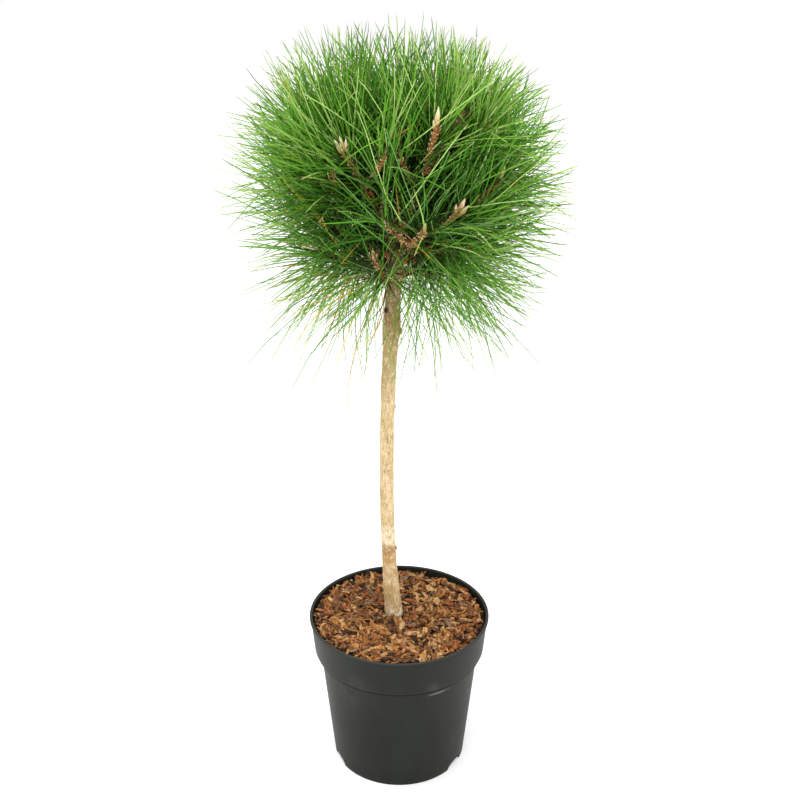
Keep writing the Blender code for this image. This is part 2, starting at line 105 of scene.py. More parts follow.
# Bark mulch
MULCH_LEVEL = 0.1625
MULCH_BOTTOM = 0.120  # the bed is seen from above, so it goes no lower than the step in the pot
MULCH_SIDES = 96
MULCH_RINGS = 34
MULCH_LUMP = 0.0022
MULCH_RISE = 0.0022  # the loose chips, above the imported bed
MULCH_HEAP = Vector((-0.0620, 0.0420))  # a low heap at the back left
MULCH_HEAP_REACH = 0.045
MULCH_HEAP_HEIGHT = 0.0030
MULCH_EDGE = 0.078  # the bed falls off from this radius to the wall
MULCH_EDGE_SLOPE = 0.10
FINES_DROP = 0.0012  # the fine stuff, below the chips
CHIP_SINK = 0.0006  # the first chips laid, into the bed
CHIP_DEPTH = 0.0040  # from the first chips laid to the last
CHIP_LEANS = (0.34, 0.06)  # radians off level: the strewn ones', and the placed ones'
CHIP_COUNT = 2400
CHIP_SHAPES = 9
CHIP_LENGTHS = (0.0055, 0.0170)
CHIP_SEED = 5

# Stem
STEM_FOOT = Vector((-0.0049, 0.0080, 0.1603))
STEM_HEAD = Vector((-0.0012, 0.0040, 0.5880))
STEM_HEIGHT = STEM_HEAD.z - STEM_FOOT.z
STEM_BOW = 0.0094
STEM_BOW_SKEW = 0.85
STEM_FOOT_RADIUS = 0.0074
STEM_WAIST_RADIUS = 0.0071
STEM_WAIST = 0.30
STEM_HEAD_RADIUS = 0.0074
ROOT_FLARE = 0.0028
ROOT_FLARE_HEIGHT = 0.035
GRAFT_HEIGHT = 0.492
GRAFT_SWELLING = 0.0016
GRAFT_LENGTH = 0.016
STEM_RINGS = 440
STEM_SIDES = 72

# Each knot's height, bearing, radius, how far it stands out, and how dark it is
KNOTS = (
    (0.507, -132, 0.0028, 0.0018, 1.0),  # a stub that was cut off
    (0.484, -12, 0.0030, 0.0022, 0.72),
    (0.481, -64, 0.0016, 0.0006, 0.62),
    (0.499, -40, 0.0012, 0.0002, 0.60),
    (0.516, -60, 0.0011, 0.0002, 0.60),
    (0.405, -8, 0.0016, 0.0012, 0.45),
    (0.2434, -8, 0.0018, 0.0014, 0.95),
)

# Boughs
BOUGH_FOOT_RADIUS = 0.0029
BOUGH_TIP_RADIUS = 0.0023
BOUGH_COLLAR = 0.0006
BOUGH_COLLAR_SHARE = 0.06
BOUGH_ROOT = 0.72
BOUGH_BEND = 0.45
BOUGH_BARE = 0.20
SHOOT_RINGS = 44
SHOOT_SIDES = 9

# Each whorl's height, the angle at which its boughs leave the stem, the angles at which needles stand
# off them at foot and bud, how thickly the needles grow, where side twigs start, and the twigs' length
Whorl = namedtuple("Whorl", "height foot_angle spreads thickly twig_starts twig_length")
WHORLS = {
    "low": Whorl(0.549, -4, (86, 46), 1.50, (0.45,), 0.040),
    "middle": Whorl(0.567, 18, (66, 30), 0.76, (0.32, 0.54), 0.062),
    "top": Whorl(0.584, 52, (68, 27), 0.98, (0.30, 0.46, 0.62), 0.060),
}
# Each bough's bearing, its bud's rise and reach from the crown's heart, and its foot's lift off the whorl
Bough = namedtuple("Bough", "whorl bearing rise reach lift")
BOUGHS = {
    name: Bough(WHORLS[name.split("_")[0]], *row)
    for name, *row in (
        ("top_front_left", -125, 56, 0.130, -0.005),
        ("top_front_right", -56, 62, 0.145, 0.0),
        ("top_right", 2, 62, 0.146, 0.005),
        ("top_back", 84, 58, 0.147, -0.003),
        ("top_left", 164, 72, 0.130, 0.003),
        ("middle_left", -163, 44, 0.122, -0.005),
        ("middle_front", -74, 25, 0.110, 0.0),
        ("middle_right", -22, 38, 0.132, 0.005),
        ("middle_back_right", 48, 34, 0.134, -0.003),
        ("middle_back_left", 120, 34, 0.136, 0.003),
        ("low_front", -107, 12, 0.058, -0.005),
        ("low_right", -35, 2, 0.066, 0.0),
        ("low_back_right", 37, 0, 0.066, 0.005),
        ("low_back", 109, 0, 0.066, -0.003),
        ("low_left", -179, 0, 0.066, 0.003),
    )
}
BOUGH_NODES = ["bough_" + name for name in BOUGHS]
NEEDLE_NODES = ["needles_" + name for name in BOUGHS]
CROWN_HEART = Vector((-0.0060, 0.0040, 0.5640))

# The crown's outline is a squared-off ball that narrows below its middle
CROWN_CENTRE = Vector((-0.0005, 0.000, 0.6080))
CROWN_RADII = Vector((0.1665, 0.1655, 0.1705))
CROWN_SQUARENESS = 2.4
CROWN_TAPER = 0.24
CROWN_LEAN = -0.007  # how far its top is off its middle
SOFT_EDGE = (0.64, 0.14, 1.02)  # needles end from this share of the outline, more at its ends, to this
SOFT_EDGE_BIAS = (1.5, 0.6)  # at its middle, and how much less at its top and bottom
# The share of needles that stand past the outline, and by how much at most
STRAY_SHARE, STRAY_ABOVE, STRAY_BELOW = 0.12, 0.012, 0.42

# Needles grow in pairs, each pair out of one sheath
NEEDLE_LENGTH = 0.104
NEEDLE_WIDTH = 0.00116
NEEDLE_THICKNESS = 0.00070
RING_SHARES = (0.0, 0.20, 0.40, 0.60, 0.79, 0.94)  # of a needle's length
RING_WIDTHS = (0.85, 1.0, 1.0, 0.96, 0.88, 0.66)
PAIRS_PER_METRE = 1420
NEEDLES_IN_PIECE = 5500
SPRAY_PAIRS = 5  # pairs that share a tone, as a spray of the source does
SHORTEST_SHARE = 0.45
PAIR_ANGLES = (2.5, 7.5)  # degrees, of each needle off the pair's middle
NEEDLE_ARC = 0.110  # of its length
NEEDLE_WAVE = 0.040
LAST_SHARE = 0.985  # of a shoot: its last needles and its buds
GOLDEN_TURN = radians(137.508)
SHEATH_LENGTH = 0.0065
SHEATH_RADII = (0.00090, 0.00080)
SHEATH_TONES = {"sheaths_green": ((92, 106, 46), 0.88), "sheaths_dry": ((170, 128, 78), 0.12)}
NEEDLE_SEED = 3


def tint(red, green, blue):
    """A colour written as the screen shows it, 0 to 255, in the linear numbers that shaders take."""
    shares = (value / 255 for value in (red, green, blue))
    return (*(s / 12.92 if s <= 0.04045 else ((s + 0.055) / 1.055) ** 2.4 for s in shares), 1)


class Wire:
    """One output of a shader node. Sums and products of wires and numbers add Math nodes."""

    def __init__(self, finish, socket):
        self.finish, self.socket = finish, socket

    def maths(self, operation, first, second):
        return self.finish.node("ShaderNodeMath", {0: first, 1: second}, operation=operation)

    def __add__(self, other):
        return self.maths("ADD", self, other)

    def __sub__(self, other):
        return self.maths("SUBTRACT", self, other)

    def __mul__(self, other):
        return self.maths("MULTIPLY", self, other)

    def __truediv__(self, other):
        return self.maths("DIVIDE", self, other)

    def __rsub__(self, other):
        return self.maths("SUBTRACT", other, self)

    __radd__ = __add__

    def above(self, level, softness):
        """0 below the level, 1 above it, with a soft edge."""
        values = {"Value": self, "From Min": level - softness, "From Max": level + softness}
        return self.finish.node("ShaderNodeMapRange", values, interpolation_type="SMOOTHSTEP")

    def below(self, level, softness):
        return 1 - self.above(level, softness)

    def between(self, low, high, softness):
        return self.above(low, softness) * self.below(high, softness)


class Finish:
    """One material, with the nodes that make it. Its colours are written 0 to 255, as for tint."""

    def __init__(self, name, colour, roughness, specular=0.3):
        self.material = bpy.data.materials.new(name)
        self.material.use_nodes = True
        self.tree = self.material.node_tree
        self.inputs = self.tree.nodes["Principled BSDF"].inputs
        self.inputs["Base Color"].default_value = tint(*colour)
        self.inputs["Roughness"].default_value = roughness
        self.inputs["Specular IOR Level"].default_value = specular

    def node(self, kind, values, output=0, **settings):
        """A new node with its settings, then its sockets' values or links. Gives one of its outputs."""
        made = self.tree.nodes.new(kind)
        for setting, value in settings.items():
            setattr(made, setting, value)
        for socket, value in values.items():
            if isinstance(value, Wire):
                self.tree.links.new(value.socket, made.inputs[socket])
            else:
                made.inputs[socket].default_value = value
        return Wire(self, made.outputs[output])

    def coordinates(self):
        return self.node("ShaderNodeTexCoord", {}, "Object")

    def height(self):
        return self.node("ShaderNodeSeparateXYZ", {"Vector": self.coordinates()}, "Z")

    def attribute(self, name):
        return self.node("ShaderNodeAttribute", {}, "Fac", attribute_name=name)

    def grain(self, scale, detail=3, roughness=0.55, stretch=(1, 1, 1), distortion=0.0):
        """Noise through the object, stretched where the grain runs one way."""
        place = self.node("ShaderNodeMapping", {"Vector": self.coordinates(), "Scale": stretch})
        values = {"Vector": place, "Scale": scale, "Detail": detail}
        values |= {"Roughness": roughness, "Distortion": distortion}
        return self.node("ShaderNodeTexNoise", values, "Fac")

    def near(self, place, reach):
        """1 at a place, fading to 0 at its reach from there."""
        ends = {0: self.coordinates(), 1: place}
        away = self.node("ShaderNodeVectorMath", ends, "Value", operation="DISTANCE")
        return away.below(reach * 0.6, reach * 0.4)

    def ramp(self, factor, *stops):
        """Colours that blend from stop to stop, each a place on the factor's way and its colour."""
        wire = self.node("ShaderNodeValToRGB", {"Fac": factor}, "Color")
        elements = wire.socket.node.color_ramp.elements
        while len(elements) < len(stops):
            elements.new(1.0)
        for element, (place, colour) in zip(elements, stops):
            element.position = place
            element.color = tint(*colour)
        return wire

    def layered(self, wire, *layers):
        """Colours laid over a first one, each where its own mask lets it."""
        for mask, colour in layers:
            values = {0: mask, 6: wire, 7: tint(*colour)}
            wire = self.node("ShaderNodeMix", values, 2, data_type="RGBA")
        return wire

    def wear(self, colour, relief, strength, depth, roughness=None):
        """Feeds the shader its colour, the bumps of a relief, and its roughness where that varies."""
        values = {"Height": relief, "Strength": strength, "Distance": depth}
        inputs = {"Base Color": colour, "Normal": self.node("ShaderNodeBump", values)}
        if roughness is not None:
            inputs["Roughness"] = roughness
        for name, wire in inputs.items():
            self.tree.links.new(wire.socket, self.inputs[name])
        return self.material


# Dull smudges on the pot, and how far each one reaches
SMUDGES = (
    ((-0.0420, -0.0790, 0.1330), 0.020),
    ((0.0347, -0.0830, 0.1330), 0.012),
    ((-0.0500, -0.0600, 0.1150), 0.024),
    ((0.0600, -0.0420, 0.0360), 0.016),
    ((0.0150, 0.0790, 0.1000), 0.020),
    ((0.0780, 0.0150, 0.0800), 0.018),
)
GLINT = (0.0410, -0.0725, 0.1212)  # a painted glint just under the collar
STAIN = (0.0050, -0.0030, 0.5000)  # on the stem, round the graft


def plastic_finish():
    """Matte black moulded plastic with a fine grain and soft dull places where it was rubbed, with painted
    shade in the crease under the collar, a painted highlight along the lip and a painted glint under the
    collar.
    """
    finish = Finish("black_plastic", (24, 26, 22), 0.5, specular=0.15)
    height = finish.height()
    cloud = finish.grain(24)
    flow = finish.grain(46, 4, stretch=(1, 1, 0.30))
    rubbed = finish.grain(80, 5, 0.72, (1, 1, 0.34), 0.9)
    smudge = sum(finish.near(place, reach) for place, reach in SMUDGES)
    # Painted shade: a dark line in the crease under the collar, where the collar's shadow falls; it is made
    # rougher there too
    crease = height.between(BAND_LEVEL - 0.0002, BAND_LEVEL + 0.0042, 0.0012)
    # Painted glint: a light streak just under the collar, where the plastic would reflect the light
    edge = height.between(GLINT[2] - 0.0010, GLINT[2] + 0.0008, 0.0007) * finish.near(GLINT, 0.017)
    colour = finish.layered(
        finish.ramp(flow, (0.35, (21, 23, 18)), (0.65, (27, 30, 23))),
        (smudge * rubbed.above(0.50, 0.30) * 0.11, (136, 138, 128)),
        (rubbed.above(0.70, 0.03) * 0.08, (120, 118, 108)),
        # Painted highlight: the lip's top edge made lighter, as if it caught the light
        (height.above(POT_HEIGHT - 0.0008, 0.0006) * 0.15, (124, 128, 122)),
        # the painted shade in the crease under the collar
        (crease * 0.75, (12, 13, 11)),
        # the painted glint under the collar, broken up by the rubbed grain
        (edge * rubbed.above(0.42, 0.2) * 0.40, (150, 154, 150)),
    )
    roughness = 0.44 + flow * 0.14 + smudge * 0.10 + crease * 0.35
    return finish.wear(colour, finish.grain(1500, 2) * 0.7 + cloud, 0.14, 0.0004, roughness)


def bark_finish():
    """The stem's smooth pale bark: straw with fine brown specks and cracks, darker and greener above,
    partly the bark's own tone and partly painted shade under the crown.
    """
    finish = Finish("stem_bark", (206, 184, 138), 0.75, specular=0.25)
    height = finish.height()
    uneven = height + (finish.grain(170) - 0.5) * 0.012
    mottle = finish.grain(330, 5, 0.68, (1, 1, 0.40), 0.4)
    streak = finish.grain(520, 3, 0.6, (1, 1, 0.10), 0.3)
    speck = finish.grain(560, 3, 0.66, (1, 1, 0.70))
    blush = finish.grain(70, 3, 0.6, (1, 1, 0.5))
    crust = height.below(0.176, 0.012) * finish.grain(300, 5, 0.7).above(0.53, 0.04)
    knot = finish.attribute("knot")
    colour = finish.layered(
        # Darker up the stem: partly the bark's own tone, partly painted shade under the crown
        finish.ramp(
            (uneven - STEM_FOOT.z) / STEM_HEIGHT,
            (0.0, (178, 147, 93)),
            (0.15, (186, 155, 102)),
            (0.24, (200, 176, 130)),
            (0.55, (195, 173, 127)),
            (0.68, (162, 143, 95)),
            (0.80, (130, 110, 70)),
            (0.92, (108, 84, 56)),
        ),
        (blush.above(0.52, 0.08) * uneven.below(0.44, 0.05) * 0.45, (230, 200, 166)),
        (blush.below(0.46, 0.06) * 0.30, (196, 166, 110)),
        (mottle.above(0.55, 0.05) * 0.50, (170, 142, 94)),
        (mottle.below(0.43, 0.05) * 0.50, (240, 222, 182)),
        (streak.above(0.64, 0.03) * 0.45, (124, 98, 62)),
        (speck.above(0.64, 0.02) * 0.80, (96, 66, 42)),
        (speck.below(0.36, 0.03) * 0.60, (250, 238, 208)),
        (uneven.between(0.251, 0.272, 0.004) * mottle.below(0.56, 0.12) * 0.60, (246, 228, 200)),
        (uneven.between(0.240, 0.250, 0.002) * speck.above(0.42, 0.10) * 0.60, (150, 100, 60)),
        (uneven.between(0.231, 0.240, 0.002) * mottle.above(0.42, 0.10) * 0.55, (178, 128, 70)),
        (finish.near(STAIN, 0.022) * mottle.above(0.40, 0.14) * 0.80, (134, 94, 58)),
        (crust * 0.85, (246, 240, 222)),
        (knot, (112, 74, 50)),
        (knot.above(0.86, 0.10), (38, 30, 28)),
    )
    relief = mottle + streak * 0.5 + speck * 0.6
    return finish.wear(colour, relief, 0.40, 0.0006, 0.68 + mottle * 0.2)


def grained(name, dark, middle, pale, scale, stretch=(1, 1, 1), roughness=0.8, depth=0.0005):
    """A rough natural skin in three tones, with a bump that follows them."""
    finish = Finish(name, middle, roughness)
    tone = finish.grain(scale, 4, 0.6, stretch, 0.5)
    return finish.wear(finish.ramp(tone, (0.32, dark), (0.52, middle), (0.70, pale)), tone, 0.5, depth)


# Colours of the chips in the bed, as dark, middle and pale tones, and each one's share of them
CHIP_TONES = {
    "chips_golden": ((112, 69, 31), (168, 110, 56), (214, 158, 90), 0.25),
    "chips_mid_brown": ((80, 49, 27), (122, 80, 46), (160, 112, 68), 0.24),
    "chips_tan": ((150, 105, 62), (196, 146, 92), (230, 186, 130), 0.13),
    "chips_dark": ((36, 22, 13), (60, 38, 23), (92, 62, 40), 0.14),
    "chips_red_brown": ((104, 56, 29), (152, 88, 46), (190, 122, 68), 0.11),
    "chips_grey": ((98, 74, 58), (134, 106, 84), (162, 134, 108), 0.06),
    "chips_pale": ((164, 126, 80), (204, 162, 108), (224, 188, 136), 0.04),
}
# The chips that stand out in the photograph: x, y, length, bearing and colour
PLACED_CHIPS = (
    (0.0094, 0.0132, 0.0085, 20, "chips_golden"),
    (-0.0506, -0.0448, 0.0120, 35, "chips_pale"),
    (0.0030, -0.0203, 0.0130, 70, "chips_pale"),
    (0.0134, -0.0349, 0.0150, 10, "chips_tan"),
    (-0.0457, -0.0230, 0.0150, 80, "chips_mid_brown"),
    (0.0800, 0.0207, 0.0110, 60, "chips_pale"),
    (-0.0459, 0.0306, 0.0130, -30, "chips_tan"),
    (-0.0235, -0.0642, 0.0130, 15, "chips_tan"),
    (0.0489, -0.0572, 0.0120, 40, "chips_red_brown"),
)
HOLLOW = Vector((0.0080, 0.0340))  # a dark gap between the chips
HOLLOW_REACH = 0.0065

# Each colour of needle, and the colour of its tip: the first ones from light to dark, lit and shaded copies
# of one green that paint light and shade on the crown
NEEDLE_TONES = {
    "needles_pale": ((160, 196, 98), (180, 176, 112)),
    "needles_lit": ((122, 178, 60), (150, 146, 84)),
    "needles_bright": ((90, 152, 40), (124, 126, 68)),
    "needles_mid": ((74, 131, 32), (106, 108, 58)),
    "needles_green": ((57, 106, 24), (90, 94, 50)),
    "needles_deep": ((41, 83, 18), (76, 80, 42)),
    "needles_shade": ((27, 57, 11), (66, 84, 38)),
    "needles_bluish": ((108, 154, 76), (162, 178, 112)),
    # Painted highlight: the colour of the glinting needles
    "needles_glint": ((182, 218, 120), (218, 220, 164)),
    "needles_straw": ((238, 198, 84), (190, 150, 90)),
    "needles_rust": ((220, 146, 60), (150, 96, 56)),
}
LIVE_TONES = 7
# How light a needle is, as painted light and shade: at least, by its height, outside, near its bud, at the
# sides and underneath
LIGHT_LEAST, LIGHT_HIGH, LIGHT_OUT, LIGHT_BUD, LIGHT_ASIDE, LIGHT_UNDER = 0.19, 0.32, 0.95, 0.10, 0.90, 1.50
LIGHT_BLADE = 260  # the sum of a light needle's colour, or more
ROOT_SHADES = (0.66, 0.35)  # painted shade on the needles' hidden feet, darker by these: the light ones', and the dark ones'


def needle_finishes(name):
    """The three plain colours of a needle: its foot darkened with painted shade, its blade and its tip."""
    blade, tip = NEEDLE_TONES[name]
    shade = ROOT_SHADES[0] if sum(blade) > LIGHT_BLADE else ROOT_SHADES[1]
    parts = {"_shaded_feet": [value * shade for value in blade], "": blade, "_tips": tip}
    return [Finish(name + part, tone, 0.40, specular=0.13).material for part, tone in parts.items()]


def by_luck(chance, tones):
    """The name of one of the tones, by the shares at the ends of their rows."""
    return chance.choices(list(tones), [row[-1] for row in tones.values()])[0]


def select_only(obj):
    bpy.ops.object.select_all(action="DESELECT")
    obj.select_set(True)
    bpy.context.view_layer.objects.active = obj


def named(name, material, node_slot, node):
    """Takes the new primitive in hand: its name, its material, and the node that it hides. The record's
    slot for it is not used.
    """
    obj = bpy.context.active_object
    obj.name = obj.data.name = name
    obj.data.materials.append(material)
    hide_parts(node)
    return obj


def modified(obj, kind, **settings):
    """Gives the object a modifier and applies it."""
    select_only(obj)
    modifier = obj.modifiers.new(kind, kind)
    for setting, value in settings.items():
        setattr(modifier, setting, value)
    bpy.ops.object.modifier_apply(modifier=modifier.name)


def place_in_mesh(obj):
    select_only(obj)
    bpy.ops.object.transform_apply(location=True, rotation=True, scale=True)


def cut_away(obj, cutter):
    """Cuts the cutter out of the object, and removes the cutter."""
    modified(obj, "BOOLEAN", operation="DIFFERENCE", solver="EXACT", object=cutter)
    bpy.data.objects.remove(cutter)


def points_of(obj):
    found = np.empty(len(obj.data.vertices) * 3)
    obj.data.vertices.foreach_get("co", found)
    return found.reshape(-1, 3)


def set_points(obj, points):
    obj.data.vertices.foreach_set("co", np.asarray(points, np.float32).ravel())
    obj.data.update()


def taken(obj):
    """The object's points and triangles. The object itself is removed."""
    modified(obj, "TRIANGULATE")
    shape = points_of(obj), np.array([tuple(face.vertices) for face in obj.data.polygons])
    bpy.data.objects.remove(obj)
    return shape


def open_edit(action):
    bpy.ops.object.mode_set(mode="EDIT")
    bpy.ops.mesh.select_all(action=action)


def close_edit():
    """Leaves edit mode with all faces turned outwards."""
    bpy.ops.mesh.select_all(action="SELECT")
    bpy.ops.mesh.normals_make_consistent(inside=False)
    bpy.ops.object.mode_set(mode="OBJECT")


def smooth(obj, degrees):
    select_only(obj)
    bpy.ops.object.shade_smooth_by_angle(angle=radians(degrees))


def turned(name, rings, sides, *dress):
    """A round form: a circle drawn up ring by ring, each a radius and a height, and closed at both ends."""
    radius, height = rings[0]
    bpy.ops.mesh.primitive_circle_add(vertices=sides, radius=radius, location=(0, 0, height))
    obj = named(name, *dress)
    place_in_mesh(obj)
    open_edit("SELECT")
    bpy.ops.mesh.edge_face_add()
    bpy.ops.mesh.select_all(action="SELECT")
    for (last_radius, last_height), (radius, height) in zip(rings, rings[1:]):
        rise = (0, 0, height - last_height)
        bpy.ops.mesh.extrude_region_move(TRANSFORM_OT_translate={"value": rise})
        growth = radius / last_radius
        bpy.ops.transform.resize(value=(growth, growth, 1), center_override=(0, 0, height))
    close_edit()
    return obj


def body_radius(height):
    """The pot body's outer radius at a height above its foot."""
    return POT_FOOT_RADIUS + (BODY_TOP_RADIUS - POT_FOOT_RADIUS) * (height / BAND_LEVEL)


def pot_rings():
    """From the underside, up the outside, over the lip and down the inside to the floor."""
    shoulder = BAND_LEVEL + SHOULDER_HEIGHT
    lip_foot = POT_HEIGHT - LIP_HEIGHT
    step = POT_WALL * STEP_RISE
    return [
        (POT_FOOT_RADIUS - FOOT_RING_WIDTH, FLOOR_BOTTOM),
        (POT_FOOT_RADIUS - FOOT_RING_WIDTH, 0),
        (POT_FOOT_RADIUS, 0),
        (body_radius(FLOOR_TOP), FLOOR_TOP),
        (body_radius(BAND_LEVEL * 0.5), BAND_LEVEL * 0.5),
        (BODY_TOP_RADIUS, BAND_LEVEL),
        (BAND_FOOT_RADIUS - SHOULDER_BEND, BAND_LEVEL + SHOULDER_HEIGHT * 0.25),
        (BAND_FOOT_RADIUS, shoulder),
        (BAND_TOP_RADIUS, lip_foot),
        (POT_RADIUS, lip_foot + LIP_CHAMFER),
        (POT_RADIUS, POT_HEIGHT),
        (BAND_TOP_RADIUS - POT_WALL, POT_HEIGHT),
        (BAND_FOOT_RADIUS - POT_WALL, shoulder + step),
        (BODY_TOP_RADIUS - POT_WALL, BAND_LEVEL + step),
        (body_radius(FLOOR_TOP) - POT_WALL, FLOOR_TOP),
    ]


def make_pot():
    pot = turned("moulded_pot", pot_rings(), POT_SIDES, plastic_finish(), "black_plastic", "pot")
    corners = {"limit_method": "ANGLE", "angle_limit": radians(25)}
    modified(pot, "BEVEL", width=EDGE_ROUNDING, segments=2, **corners)
    for turn in range(DRAIN_HOLE_COUNT + 1):
        angle = tau * turn / DRAIN_HOLE_COUNT
        off = DRAIN_HOLE_CIRCLE if turn < DRAIN_HOLE_COUNT else 0.0
        place = (cos(angle) * off, sin(angle) * off, FLOOR_BOTTOM)
        bpy.ops.mesh.primitive_cylinder_add(
            vertices=24, radius=DRAIN_HOLE_RADIUS, depth=FLOOR_TOP * 3, location=place
        )
        cut_away(pot, bpy.context.active_object)
    out = Matrix.Translation((POT_FOOT_RADIUS + NOTCH_DEPTH / 4, 0, 0))
    lean = Matrix.Rotation(radians(NOTCH_LEAN), 4, "Y")
    stretch = Matrix.Diagonal((NOTCH_DEPTH * 2, NOTCH_WIDTH, NOTCH_HEIGHT * 2, 1))
    for degrees in NOTCH_ANGLES:
        bpy.ops.mesh.primitive_cylinder_add(vertices=40, radius=0.5, depth=1, rotation=(0, pi / 2, 0))
        notch = bpy.context.active_object
        place_in_mesh(notch)
        notch.matrix_world = Matrix.Rotation(radians(degrees), 4, "Z") @ out @ lean @ stretch
        place_in_mesh(notch)
        cut_away(pot, notch)
    smooth(pot, 30)


def lump(*place):
    """Smooth noise at a place, about -1 to 1."""
    return noise.noise(Vector(place))


def mulch_height(x, y):
    """The bed's lumpy level at a place in the pot."""
    low = lump(x * 34, y * 34, 0.7) * MULCH_LUMP
    fine = lump(x * 120, y * 120, 3.1) * MULCH_LUMP * 0.5
    edge = max(0.0, hypot(x, y) - MULCH_EDGE) * MULCH_EDGE_SLOPE
    heap = max(0.0, 1 - (Vector((x, y)) - MULCH_HEAP).length / MULCH_HEAP_REACH) * MULCH_HEAP_HEIGHT
    return MULCH_LEVEL + MULCH_RISE + low + fine + heap - edge


def make_bed():
    """The fine dark stuff between the chips, and the root ball's top edge."""
    shoulder = BAND_LEVEL + SHOULDER_HEIGHT
    share = (MULCH_LEVEL - shoulder) / (POT_HEIGHT - shoulder)
    edge = BAND_FOOT_RADIUS + (BAND_TOP_RADIUS - BAND_FOOT_RADIUS) * share - POT_WALL * 1.4
    below = BODY_TOP_RADIUS - POT_WALL * 1.6
    rings = [(below, MULCH_BOTTOM), (below, BAND_LEVEL), (edge * 0.985, shoulder + 0.004)]
    rings += [(edge * (1 - ring / MULCH_RINGS), MULCH_LEVEL) for ring in range(MULCH_RINGS)]
    finish = grained("mulch_fines", (22, 13, 8), (44, 27, 16), (80, 52, 32), 520)
    bed = turned("mulch_bed", rings, MULCH_SIDES, finish, "bark_chips", "bark_mulch")
    points = points_of(bed)
    for point in points:
        if point[2] > MULCH_LEVEL - 1e-4:
            point[2] = mulch_height(point[0], point[1]) - FINES_DROP
    set_points(bed, points)
    smooth(bed, 60)


def add_to_scene(name, data, place=(0, 0, 0), turn=(0, 0, 0)):
    obj = bpy.data.objects.new(name, data)
    obj.location, obj.rotation_euler = place, turn
    bpy.context.scene.collection.objects.link(obj)
    return obj


class Heap:
    """Many small meshes on their way to being one: points, triangles, and each one's slot and mark."""

    def __init__(self):
        self.points, self.faces, self.slots, self.marks = [], [], [], []
        self.count = 0

    def add(self, points, faces, slots=0, marks=0.0):
        points, faces = np.asarray(points, float), np.asarray(faces, int)
        self.points.append(points)
        self.faces.append(faces + self.count)
        self.slots.append(np.zeros(len(faces), int) + slots)
        self.marks.append(np.zeros(len(points)) + marks)
        self.count += len(points)

    def made(self, name, materials, node_slot, nodes, smooth_shaded=True):
        """The piece, and the nodes that it stands for. The record's slot for it is not used."""
        points, faces, slots, marks = map(np.concatenate, (self.points, self.faces, self.slots, self.marks))
        mesh = bpy.data.meshes.new(name)
        mesh.vertices.add(len(points))
        mesh.loops.add(faces.size)
        mesh.polygons.add(len(faces))
        mesh.vertices.foreach_set("co", points.astype(np.float32).ravel())
        mesh.loops.foreach_set("vertex_index", faces.astype(np.int32).ravel())
        mesh.polygons.foreach_set("loop_start", np.arange(0, faces.size, 3, dtype=np.int32))
        mesh.polygons.foreach_set("material_index", slots.astype(np.int32))
        mesh.polygons.foreach_set("use_smooth", np.full(len(faces), smooth_shaded))
        if marks.any():
            mask = mesh.attributes.new("mark", "FLOAT", "POINT")
            mask.data.foreach_set("value", marks.astype(np.float32))
        mesh.update(calc_edges=True)
        mesh.validate()
        for material in materials:
            mesh.materials.append(material)
        obj = add_to_scene(name, mesh)
        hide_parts(*nodes)


def chip_shape(chance):
    """One splinter of bark: a thin block, cut across at a slant and roughened, one unit long."""
    bpy.ops.mesh.primitive_cube_add(size=1)
    obj = bpy.context.active_object
    obj.scale = (1, chance.uniform(0.22, 0.50), chance.uniform(0.07, 0.15))
    place_in_mesh(obj)
    open_edit("SELECT")
    bpy.ops.mesh.subdivide(number_cuts=1)
    bpy.ops.object.mode_set(mode="OBJECT")
    points = points_of(obj)
    bend, slant = chance.uniform(-0.16, 0.16), chance.uniform(-0.5, 0.5)
    ends = [chance.uniform(0.2, 1.5) for _ in range(2)]
    for point in points:
        taper = 1 - abs(point[0]) * ends[int(point[0] > 0)]
        point[0] += point[1] * slant + chance.uniform(-0.05, 0.05)
        point[1] = point[1] * taper + chance.uniform(-0.03, 0.03)
        point[2] = point[2] * (0.6 + 0.4 * taper) + bend * point[0] ** 2 + chance.uniform(-0.015, 0.015)
    set_points(obj, points)
    return taken(obj)


